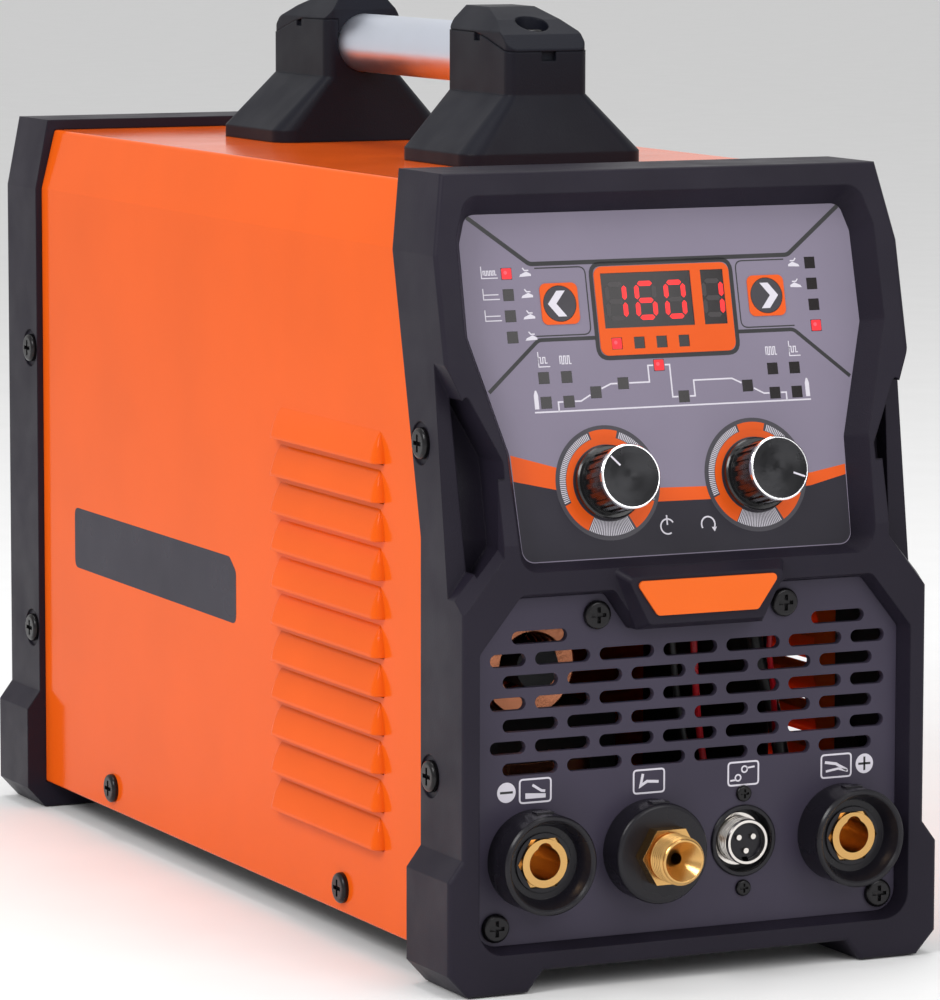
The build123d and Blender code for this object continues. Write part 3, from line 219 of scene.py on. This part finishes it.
BANNER = finish_of("print_banner", (0.030, 0.027, 0.040), 0.30, grain=900, vary=0.05,
                   specular=0.08)
SPUN = finish_of("spun_face", (0.060, 0.060, 0.064), 0.30, metal=1.0, grain=400, bump=0.02,
                 anisotropy=0.9)
LIT = glow("lit_red", (0.62, 0.006, 0.014), 0.55)
# painted highlight: a brighter glow standing in for the shine on each lit lamp
LAMP_HIGHLIGHT = glow("lamp_painted_highlight", (1.0, 0.05, 0.07), 0.8)
DIGIT = glow("lit_digit", (0.90, 0.010, 0.012), 0.9)
UNLIT = finish_of("unlit_segment", (0.026, 0.020, 0.022), 0.30, vary=0.05)
RED_WIRE = finish_of("red_wire", (0.55, 0.01, 0.02), 0.35, vary=0.05)
BLACK_WIRE = finish_of("black_wire", (0.015, 0.015, 0.016), 0.32, vary=0.05)


def dress_nodes():
    """Gives every CAD node the finish of its material slot."""
    for part in frame["record"]["subparts"]:
        for holder in nodes[part["node"]].material_slots:
            holder.material = FINISH[part["material_slot"]]


def radial_tangent(made):
    """Runs a turned face's brushing round the piece's own Z axis."""
    tree = made.node_tree
    tangent = tree.nodes.new("ShaderNodeTangent")
    tangent.direction_type = "RADIAL"
    tangent.axis = "Z"
    tree.links.new(tangent.outputs["Tangent"], tree.nodes["Principled BSDF"].inputs["Tangent"])


# ---- outlines, in millimetres -----------------------------------------------------
def arc(u, v, radius, start, end, steps=24):
    """Points on a circle from start to end, in degrees."""
    angles = [math.radians(start + (end - start) * k / steps) for k in range(steps + 1)]
    return [(u + radius * math.cos(a), v + radius * math.sin(a)) for a in angles]


def rounded(points, radius, closed=True):
    """Turns the corners of an outline into smooth bends about as wide as the radius."""
    steps = 5
    count = len(points)
    result = []
    for k, point in enumerate(points):
        if not closed and k in (0, count - 1):
            result.append(point)
            continue
        here = Vector(point)
        back = Vector(points[k - 1]) - here
        ahead = Vector(points[(k + 1) % count]) - here
        half = back.angle(ahead) / 2
        reach = min(radius / math.tan(half), back.length / 2, ahead.length / 2)
        start, end = here + back.normalized() * reach, here + ahead.normalized() * reach
        for step in range(steps + 1):
            t = step / steps
            spot = start * (1 - t) ** 2 + here * 2 * t * (1 - t) + end * t ** 2
            result.append((spot.x, spot.y))
    return result


def rectangle(u0, u1, v0, v1, radius=0.0):
    points = [(u0, v0), (u1, v0), (u1, v1), (u0, v1)]
    return rounded(points, radius) if radius else points


def sides_of_line(points, width, closed=False):
    """The left and right edges of a line with mitred corners, cut short where they are sharp."""
    left, right = [], []
    count = len(points)
    for k, point in enumerate(points):
        here = Vector(point)
        before = here - Vector(points[k - 1]) if closed or k else None
        after = Vector(points[(k + 1) % count]) - here if closed or k < count - 1 else None
        before = (before or after).normalized()
        after = (after or before).normalized()
        across = (before + after).normalized()
        across = Vector((-across.y, across.x))
        miter = width / 2 / max(0.4, across.dot(Vector((-after.y, after.x))))
        left.append((here + across * miter)[:])
        right.append((here - across * miter)[:])
    return left, right


class Print:
    """Thin raised shapes that make up one printed or lit piece on a surface."""

    def __init__(self, place, low, high):
        self.place, self.low, self.high = place, low, high
        self.mesh = bmesh.new()

    def _ring(self, points, height):
        return [self.mesh.verts.new(self.place(u, v, height)) for u, v in points]

    def area(self, outline):
        """A filled outline with its edge walls."""
        low, high = self._ring(outline, self.low), self._ring(outline, self.high)
        self.mesh.faces.new(high)
        self.mesh.faces.new(low[::-1])
        for k in range(len(outline)):
            self.mesh.faces.new((low[k - 1], low[k], high[k], high[k - 1]))

    def band(self, one, other, closed=False):
        """A strip between two rows of the same number of points."""
        rows = [self._ring(points, height) for height in (self.low, self.high)
                for points in (one, other)]
        count = len(one)
        for k in range(0 if closed else 1, count):
            low_a, low_b, high_a, high_b = [(row[k - 1], row[k]) for row in rows]
            self.mesh.faces.new((high_a[0], high_a[1], high_b[1], high_b[0]))
            self.mesh.faces.new((low_b[0], low_b[1], low_a[1], low_a[0]))
            self.mesh.faces.new((low_a[0], low_a[1], high_a[1], high_a[0]))
            self.mesh.faces.new((high_b[0], high_b[1], low_b[1], low_b[0]))
        if not closed:
            for k in (0, count - 1):
                self.mesh.faces.new((rows[0][k], rows[2][k], rows[3][k], rows[1][k]))

    def line(self, points, width, closed=False):
        self.band(*sides_of_line(points, width, closed), closed)

    def ring(self, u, v, outer, inner, start=0, end=360, steps=72):
        whole = end - start == 360
        rows = [arc(u, v, radius, start, end, steps) for radius in (outer, inner)]
        if whole:
            rows = [row[:-1] for row in rows]
        self.band(*rows, closed=whole)

    def make(self, name, material, slot, body=ROOT):
        bmesh.ops.recalc_face_normals(self.mesh, faces=self.mesh.faces)
        return piece(name, self.mesh, material, body)


def piece(name, mesh, material, body=ROOT, smooth=False, place=None):
    """Turns a bmesh into a piece that rides on a body."""
    data = bpy.data.meshes.new(name)
    mesh.to_mesh(data)
    mesh.free()
    data.materials.append(material)
    if smooth:
        data.shade_smooth()
    made = bpy.data.objects.new(name, data)
    if place:
        made.matrix_world = place
    scene.collection.objects.link(made)
    bpy.context.view_layer.update()
    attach(made, body)
    return made


# ---- control panel print ----------------------------------------------------------
LAYER = 0.03                      # from one print layer to the next
PEN = 0.4                         # width of thin sign lines


def layer(number, place=on_panel):
    """A print layer; number 0 is the one next to the surface."""
    return Print(place, (number + 0.1) * LAYER, (number + 1) * LAYER)


STRIPE_TOP = [(-72.0, 45.3), (-53.3, 39.8), (-32, 33.8), (-10, 29.9), (9.7, 29.5), (32, 30.2),
              (56.7, 32.6), (71.8, 35.2)]
STRIPE_FOOT = [(-71.8, 35.3), (-54.3, 31.3), (-32, 27.2), (-11, 24.6), (11, 24.4), (32, 25.0),
               (56, 27.6), (71.6, 31.2)]


def print_lower_panel():
    """Charcoal lower field and the orange stripe above it."""
    field = layer(0)
    field.area(STRIPE_FOOT + arc(66, 9.2, 5.0, 0, -90, 8) + arc(-66, 9.2, 5.0, -90, -180, 8))
    field.make("panel_lower_field", CHARCOAL, "overlay_print")
    stripe = layer(0)
    stripe.band(STRIPE_TOP, STRIPE_FOOT)
    stripe.make("panel_stripe", FINISH["trim_orange"], "trim_orange")


def print_outlines():
    """Dark lines that divide the grey field, mirrored left and right."""
    lines = layer(0)
    title = [(-80.4, 137.0), (-56.0, 118.3), (56.0, 118.3), (80.4, 137.0)]
    lines.line(rounded(title, 4, closed=False), 1.7)
    lines.line(rectangle(-30.3, 30.3, 80.8, 117.4, 4.6), 1.7, closed=True)
    for side in (-1, 1):
        branch = [(31.0, 88.9), (55.3, 88.9), (78.2, 69.6)]
        lines.line(rounded([(side * u, v) for u, v in branch], 4, closed=False), 1.5)
        box = [(54, 116.6), (32.6, 116.6), (32.6, 90.4), (56, 90.4)]
        lines.line(rounded([(side * u, v) for u, v in box], 3, closed=False), 0.5)
    lines.make("panel_outlines", INK, "overlay_print")


def print_graph():
    """The welding cycle drawn as a thin white line through the lamps."""
    graph = layer(0)
    base, width = 61.2, 0.6
    graph.line([(-59.8, base), (59.8, base)], width)
    between_lamps = [
        [(-49.5, base), (-49.5, 64.8), (-47.4, 64.8)],
        [(-42.4, 64.8), (-39.8, 64.8), (-35.6, 67.0)],
        [(-30.6, 69.2), (-26.4, 70.9), (-23.6, 70.9)],
        [(-18.6, 70.9), (-9.8, 70.9), (-9.8, 77.3), (-7.5, 77.3)],
        [(-2.5, 77.3), (-0.4, 77.3), (-0.4, 64.7), (2.0, 64.7)],
        [(7.0, 64.7), (9.3, 64.7), (9.3, 70.8), (26.0, 70.8), (30.0, 68.9)],
        [(35.2, 66.6), (39.4, 64.4), (41.8, 64.4)],
        [(46.8, 64.4), (49.2, 64.4), (49.2, base)],
    ]
    for stretch in between_lamps:
        graph.line(stretch, width)
    bottle = [(-0.9, 0), (0.9, 0), (0.9, 5.4), (0.3, 7.2), (-0.3, 7.2), (-0.9, 5.4)]
    for side in (-1, 1):
        graph.area([(side * 58.7 + u, base + 1.2 + v) for u, v in bottle])
    graph.make("panel_graph", WHITE, "overlay_print")


def square_wave(u, v, cycles, wide, tall):
    """Points along a square wave that starts at (u, v)."""
    points = []
    for k in range(cycles):
        left = u + wide * k
        points += [(left, v), (left, v + tall), (left + wide / 2, v + tall), (left + wide / 2, v)]
    return points + [(u + wide * cycles, v)]


def torch_sign(signs, u, v, flip):
    """A small wedge-shaped torch with its trigger above it; flip is -1 to mirror it."""
    wedge = [(-2.5, -1.5), (2.5, -1.3), (2.5, -0.5), (0.6, 0.5), (-2.0, -0.6)]
    trigger = [(-0.9, 1.9), (-0.1, 0.9), (1.6, 0.9)]
    signs.area([(u + flip * a, v + b) for a, b in wedge])
    signs.line([(u + flip * a, v + b) for a, b in trigger], 0.5)


def print_signs():
    """Generic waveform and torch signs beside the lamps, and two turn signs by the dials."""
    signs = layer(1)
    signs.line([(-76.6, 118.0), (-76.6, 113.4), (-69.8, 113.4)], PEN)
    signs.line(square_wave(-75.8, 114.6, 4, 1.4, 1.6), PEN)
    for v in (105.2, 97.0):
        signs.line([(-76.6, v + 4.2), (-76.6, v), (-69.8, v)], PEN)
        signs.line([(-76.4, v + 1.8), (-70.2, v + 1.8)], PEN)
    top_row, row_pitch = 115.0, 8.2
    for row in range(4):
        v = top_row - row_pitch * row
        torch_sign(signs, -58.2, v, 1)
        if row < 2:
            torch_sign(signs, 58.4, v, -1)
    for u in (-54.6, 54.0):
        signs.line([(u - 1.6, 84.4), (u - 1.6, 78.6), (u + 3.2, 78.6)], PEN)
        signs.line(square_wave(u - 1.6, 80.0, 2, 1.9, 2.2), PEN)
        inner = u + (9.7 if u < 0 else -9.7)
        signs.line(square_wave(inner - 2.2, 79.4, 3, 1.6, 3.0), PEN)
    turn_v, turn_radius, turn_pen = 14.8, 2.9, 0.6
    signs.line(arc(-8.4, turn_v, turn_radius, 30, 300, 16), turn_pen)
    signs.line([(-8.4, 19.2), (-8.4, 15.4)], turn_pen)
    signs.line(arc(9.2, turn_v, turn_radius, -30, 210, 16), turn_pen)
    tip = 9.2 + 2.5
    signs.area([(tip - 1.1, 13.6), (tip + 1.1, 13.6), (tip, 11.8)])
    signs.make("panel_signs", WHITE, "overlay_print")


def print_dial_scale(side, word):
    """Dark ring, orange inner ring with full-depth blocks, and fine tick marks."""
    u, v = side * DIAL_U, DIAL_V
    plate = layer(1)
    plate.ring(u, v, 22.2, 5.2)
    plate.make(f"{word}_scale_plate", RING_GREY, "overlay_print")
    orange = layer(2)
    orange.ring(u, v, 17.7, 14.8, -60, 240)
    for start, end in ((73, 107), (203, 240), (300, 337)):
        orange.ring(u, v, 20.6, 17.6, start, end, 12)
    orange.make(f"{word}_scale_ring", FINISH["trim_orange"], "trim_orange")
    ticks = layer(2)
    step, half_tick = 2.2, 0.55                   # degrees
    for start, end, inner in ((110, 201, 17.9), (-21, 70, 17.9), (241.5, 298.5, 14.9)):
        for k in range(int((end - start) / step) + 1):
            angle = start + step * k
            ticks.ring(u, v, 20.4, inner, angle - half_tick, angle + half_tick, 1)
    ticks.make(f"{word}_scale_ticks", WHITE, "overlay_print")


# ---- display, lamps, buttons and dials --------------------------------------------
SEGMENTS = {"0": "abcdef", "1": "bc", "6": "afgedc"}
DIGIT_WIDE, DIGIT_TALL, SEGMENT = 7.4, 13.2, 1.9
SEGMENT_GAP = 0.5                 # from a bar's tip to the corner it points at


def segment_outline(letter, u, v):
    """One six-sided bar of a seven-segment digit centred at (u, v)."""
    half_u, half_v, pen = DIGIT_WIDE / 2, DIGIT_TALL / 2, SEGMENT / 2
    level = {"a": half_v, "g": 0, "d": -half_v}
    if letter in level:
        v += level[letter]
        reach = half_u - SEGMENT_GAP
        return [(u - reach, v), (u - reach + pen, v + pen), (u + reach - pen, v + pen),
                (u + reach, v), (u + reach - pen, v - pen), (u - reach + pen, v - pen)]
    u += half_u if letter in "bc" else -half_u
    v += half_v / 2 if letter in "bf" else -half_v / 2
    reach = half_v / 2 - SEGMENT_GAP
    return [(u, v - reach), (u + pen, v - reach + pen), (u + pen, v + reach - pen),
            (u, v + reach), (u - pen, v + reach - pen), (u - pen, v - reach + pen)]


def make_display():
    """A three-digit number and a memory digit, on the smoked windows."""
    lit, dim = Print(on_panel, -0.08, -0.04), Print(on_panel, -0.08, -0.05)
    digits = [("1", -20.4), ("6", -7.6), ("0", 5.1), ("1", 21.6)]
    for shown, u in digits:
        for letter in "abcdefg":
            target = lit if letter in SEGMENTS[shown] else dim
            target.area(segment_outline(letter, u, DISPLAY_V))
    lit.make("display_segments", DIGIT, "lens")
    dim.make("display_unlit_segments", UNLIT, "lens")


def make_lamps():
    """Four lit lamps, each with a painted highlight: a brighter glowing spot a little up and left of its middle.
    """
    face, highlight = Print(on_panel, 0.06, 0.14), Print(on_panel, 0.15, 0.19)
    half = 2.1
    for u, v in ((-66.0, 114.9), (65.5, 90.1), (-22.1, 86.3), (-5.0, 77.3)):
        face.area(rectangle(u - half, u + half, v - half, v + half, 0.5))
        # painted highlight, set up and left of each lamp's middle
        highlight.area(arc(u - 0.5, v + 0.4, 0.75, 0, 348, 16))
    face.make("lit_lamps", LIT, "lens")
    highlight.make("lamp_painted_highlights", LAMP_HIGHLIGHT, "lens")


def make_button_arrow(side, word):
    """The white arrow on a button, pointing away from the display."""
    arrow = Print(on_panel, 0.32, 0.38)
    shape = [(-5.1, 0), (-1.0, 5.0), (2.6, 5.0), (-1.5, 0), (2.6, -5.0), (-1.0, -5.0)]
    arrow.area([(side * BUTTON_U - side * u, BUTTON_V + v) for u, v in shape])
    arrow.make(f"{word}_button_arrow", WHITE, "button_plastic", f"{word}_button_body")


def make_dial_face(side, word, angle):
    """Spun dark disc inside the bright rim, and the white pointer on it."""
    face_height, spokes = 20.17, 96
    place = Matrix((Vector((1, 0, 0)), UP, NORMAL)).transposed().to_4x4()
    place.translation = dial_centres[0 if side < 0 else 1] + NORMAL * face_height * MM
    disc = bmesh.new()
    rings = []
    for radius in (0.5, 3.0, 6.0, 9.0, 11.65):
        ripple = -0.015 * MM * math.cos(radius)
        rings.append([disc.verts.new((radius * MM * math.cos(math.tau * k / spokes),
                                      radius * MM * math.sin(math.tau * k / spokes), ripple))
                      for k in range(spokes)])
    disc.faces.new(rings[0])
    for inner, outer in zip(rings, rings[1:]):
        for k in range(spokes):
            disc.faces.new((inner[k - 1], outer[k - 1], outer[k], inner[k]))
    bmesh.ops.solidify(disc, geom=disc.faces[:], thickness=0.02 * MM)
    bmesh.ops.recalc_face_normals(disc, faces=disc.faces)
    piece(f"{word}_dial_disc", disc, SPUN, f"{word}_dial", place=place)
    pointer = Print(on_panel, face_height + 0.07, face_height + 0.17)
    way = Vector((math.cos(math.radians(angle)), math.sin(math.radians(angle))))
    middle = Vector((side * DIAL_U, DIAL_V))
    pointer.line([(middle + way * 6.0)[:], (middle + way * 11.2)[:]], 0.7)
    pointer.make(f"{word}_dial_pointer", WHITE, "knob_metal", f"{word}_dial")


# ---- connector panel and cover ----------------------------------------------------
def make_front_signs():
    """White signs over the sockets: poles, and a boxed sign for each connector."""
    signs, marks = layer(0, on_front), layer(1, on_front)
    z, minus_x, plus_x = 76.6, -78.4, 77.2
    for x in (-66.2, -17.6, 23.5, 64.6):
        signs.line(rectangle(x - 6.6, x + 6.6, z - 4.5, z + 4.5, 1.4), 0.7, closed=True)
    stroke, half_stroke = 2.7, 0.45
    for x in (minus_x, plus_x):
        signs.area(arc(x, z, 3.9, 0, 352, 44))
        marks.area(rectangle(x - stroke, x + stroke, z - half_stroke, z + half_stroke))
    marks.area(rectangle(plus_x - half_stroke, plus_x + half_stroke, z - stroke, z + stroke))
    signs.area([(-70.4, 73.6), (-61.8, 73.6), (-61.8, 75.2), (-70.4, 75.8)])
    signs.line([(-67.4, 78.8), (-63.6, 76.4), (-62.0, 76.2)], 1.0)
    signs.line([(-20.2, 79.6), (-21.2, 75.0), (-18.4, 76.6), (-13.4, 76.2)], 1.1)
    signs.line(arc(21.2, 75.0, 1.2, 0, 345, 20), 0.6, closed=True)
    signs.line(arc(24.0, 78.2, 1.2, 0, 345, 20), 0.6, closed=True)
    signs.line([(17.8, 74.0), (20.2, 74.2)], 0.7)
    signs.line([(25.0, 78.6), (28.4, 79.0)], 0.7)
    signs.line([(59.6, 78.2), (64.4, 77.4), (69.4, 74.6)], 1.1)
    signs.line([(60.0, 74.6), (65.6, 75.4), (69.8, 74.2)], 0.9)
    signs.make("front_signs", WHITE, "panel_steel")
    marks.make("front_pole_marks", INK, "panel_steel")


def make_mould_marks():
    """Small ejector rings on the floors of the two welding sockets."""
    floor_height, from_middle = 8.52, 12.9
    for x, word in ((-SOCKET_X, "negative"), (SOCKET_X, "positive")):
        marks = Print(on_front, floor_height, floor_height + 0.05)
        for angle in (48, 165, 228):
            turn = math.radians(angle)
            marks.ring(x + from_middle * math.cos(turn), SOCKET_Z + from_middle * math.sin(turn),
                       1.05, 0.75, steps=24)
        marks.make(f"{word}_socket_marks", INK, "black_plastic")


def make_side_banner(side, word):
    """A plain dark field with rounded corners on the cover's side."""
    banner = Print(on_side(side), 0.02, 0.06)
    outline = [(-16, 113), (168, 114.3), (168, 141), (-9, 140.5), (-16, 135)]
    banner.area(rounded(outline, 4))
    banner.make(f"{word}_side_banner", BANNER, "orange_paint")


# ---- inside the case --------------------------------------------------------------
def swept(name, path, profile, material):
    """Sweeps a closed profile of (outward, along) points; path gives (point, out, along)."""
    mesh = bmesh.new()
    rows = [[mesh.verts.new(point + out * a + along * b) for a, b in profile]
            for point, out, along in path]
    for one, two in zip(rows, rows[1:]):
        for k in range(len(profile)):
            mesh.faces.new((one[k - 1], one[k], two[k], two[k - 1]))
    mesh.faces.new(rows[0])
    mesh.faces.new(rows[-1][::-1])
    bmesh.ops.recalc_face_normals(mesh, faces=mesh.faces)
    return piece(name, mesh, material)


def make_choke_winding():
    """Thick flat copper strip wound on edge round the choke bar."""
    low, high = (Vector(corner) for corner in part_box("choke_coil"))
    centre, reach = (low + high) / 2, (high - low) / 2
    thick, deep, bend = 4.2 * MM, 8.4 * MM, 0.8 * MM
    turns, first_turn = 7, 0.6                    # the strip starts 0.6 radians round
    steps = turns * 40
    length = 2 * reach.y - thick
    path = []
    for k in range(steps + 1):
        angle = math.tau * turns * k / steps + first_turn
        out = Vector((math.cos(angle), 0, math.sin(angle)))
        start = Vector((centre.x, low.y + thick / 2 + length * k / steps, centre.z))
        path.append((start, out, Vector((0, 1, 0))))
    outer, inner, half = reach.x, reach.x - deep, thick / 2
    profile = [(inner, -half + bend), (inner + bend, -half), (outer - bend, -half),
               (outer, -half + bend), (outer, half - bend), (outer - bend, half),
               (inner + bend, half), (inner, half - bend)]
    made = swept("choke_winding", path, profile, FINISH["copper"])
    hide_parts("choke_coil")


def make_wire(name, points, radius, material):
    """A round wire along a smooth curve through the given points, made into a mesh."""
    curve = bpy.data.curves.new(name, "CURVE")
    curve.dimensions = "3D"
    curve.bevel_depth = radius * MM
    curve.bevel_resolution = 4
    curve.use_fill_caps = True
    spline = curve.splines.new("BEZIER")
    spline.bezier_points.add(len(points) - 1)
    for knot, point in zip(spline.bezier_points, points):
        knot.co = plain(*point)
        knot.handle_left_type = knot.handle_right_type = "AUTO"
    holder = bpy.data.objects.new(name + "_route", curve)
    data = bpy.data.meshes.new_from_object(holder)
    bpy.data.objects.remove(holder)
    mesh = bmesh.new()
    mesh.from_mesh(data)
    piece(name, mesh, material, smooth=True)


def make_wires():
    """Leads from the front connectors to the boards and one to the fan, behind the grille."""
    routes = [
        ("remote_lead_red", 1.4, RED_WIRE,
         [(25, -212, 52), (24, -200, 80), (17, -206, 122), (20, -198, 150), (30, -188, 205)]),
        ("remote_lead_black", 1.4, BLACK_WIRE,
         [(22, -212, 50), (14, -203, 88), (6, -208, 128), (10, -196, 156), (24, -188, 205)]),
        ("positive_lead", 3.2, BLACK_WIRE,
         [(67, -192, 52), (66, -184, 84), (58, -180, 120), (60, -172, 160), (56, -160, 206)]),
        ("fan_lead_red", 1.2, RED_WIRE,
         [(70, -168, 205), (64, -196, 150), (52, -204, 126), (58, -196, 100), (74, -170, 60)]),
    ]
    for name, radius, material, points in routes:
        make_wire(name, points, radius, material)


def make_shade_sheet():
    """Black sheet inside the right-hand louvres, a painted shade that keeps the bright surroundings from showing
    through them.
    """
    def on_shade_sheet(y, z, height):
        return plain(80 + height, y, z)

    # a dark sheet standing in for the shade inside the case
    shade_sheet = Print(on_shade_sheet, 0.0, 0.8)
    shade_sheet.area(rounded([(-150, 30), (-40, 30), (-40, 205), (-150, 205)], 6))
    shade_sheet.make("painted_shade_sheet", FINISH["fan_plastic"], "fan_plastic")


# ---- floor, light and camera ------------------------------------------------------
def area_light(name, power, size, spot, target):
    """A rectangular soft box at a spot, turned to face the target."""
    lamp = bpy.data.lights.new(name, "AREA")
    lamp.shape = "RECTANGLE"
    lamp.size, lamp.size_y = size
    lamp.energy = power
    holder = bpy.data.objects.new(name, lamp)
    holder.location = spot
    holder.rotation_euler = (Vector(target) - Vector(spot)).to_track_quat("-Z", "Y").to_euler()
    scene.collection.objects.link(holder)


def make_studio():
    """Pale floor, white surroundings and three soft boxes; everything here is in metres."""
    half, floor_z = 12.0, -0.0005
    mesh = bmesh.new()
    corners = [mesh.verts.new((x, y, floor_z)) for x, y in
               ((-half, -half), (half, -half), (half, half), (-half, half))]
    mesh.faces.new(corners)
    data = bpy.data.meshes.new("floor")
    mesh.to_mesh(data)
    mesh.free()
    data.materials.append(finish_of("floor_paper", (0.90, 0.90, 0.90), 0.9, grain=60,
                                    bump=0.01, vary=0.01))
    floor = bpy.data.objects.new("floor", data)
    scene.collection.objects.link(floor)
    world = bpy.data.worlds.new("studio")
    world.use_nodes = True
    background = world.node_tree.nodes["Background"]
    background.inputs["Color"].default_value = (1, 1, 1, 1)
    background.inputs["Strength"].default_value = 0.66
    scene.world = world
    aim = (0, 0, 0.18)
    area_light("left_box", 30, (1.0, 1.0), (-1.9, -0.9, 1.9), aim)
    area_light("front_box", 16, (1.2, 1.4), (0.6, -2.3, 1.5), aim)
    area_light("top_box", 18, (1.2, 1.2), (0.1, 0.3, 2.4), aim)


def make_camera():
    """Long lens from the front left, a little above the machine."""
    lens = bpy.data.cameras.new("camera")
    lens.lens = 194.7
    lens.sensor_width = 36
    lens.clip_end = 50
    holder = bpy.data.objects.new("camera", lens)
    holder.location = (-0.956, -2.0594, 0.440)
    pitch, roll, yaw = math.radians(82.92), math.radians(-0.08), math.radians(-25.29)
    holder.rotation_euler = (pitch, roll, yaw)
    scene.collection.objects.link(holder)
    scene.camera = holder


def main():
    dress_nodes()
    radial_tangent(SPUN)
    print_lower_panel()
    print_outlines()
    print_graph()
    print_signs()
    make_display()
    make_lamps()
    for side, word, pointer in ((-1, "left", 134), (1, "right", -20)):
        print_dial_scale(side, word)
        make_button_arrow(side, word)
        make_dial_face(side, word, pointer)
        make_side_banner(side, word)
    make_front_signs()
    make_mould_marks()
    make_choke_winding()
    make_wires()
    make_shade_sheet()
    make_studio()
    make_camera()
    scene.view_settings.view_transform = "Standard"


main()
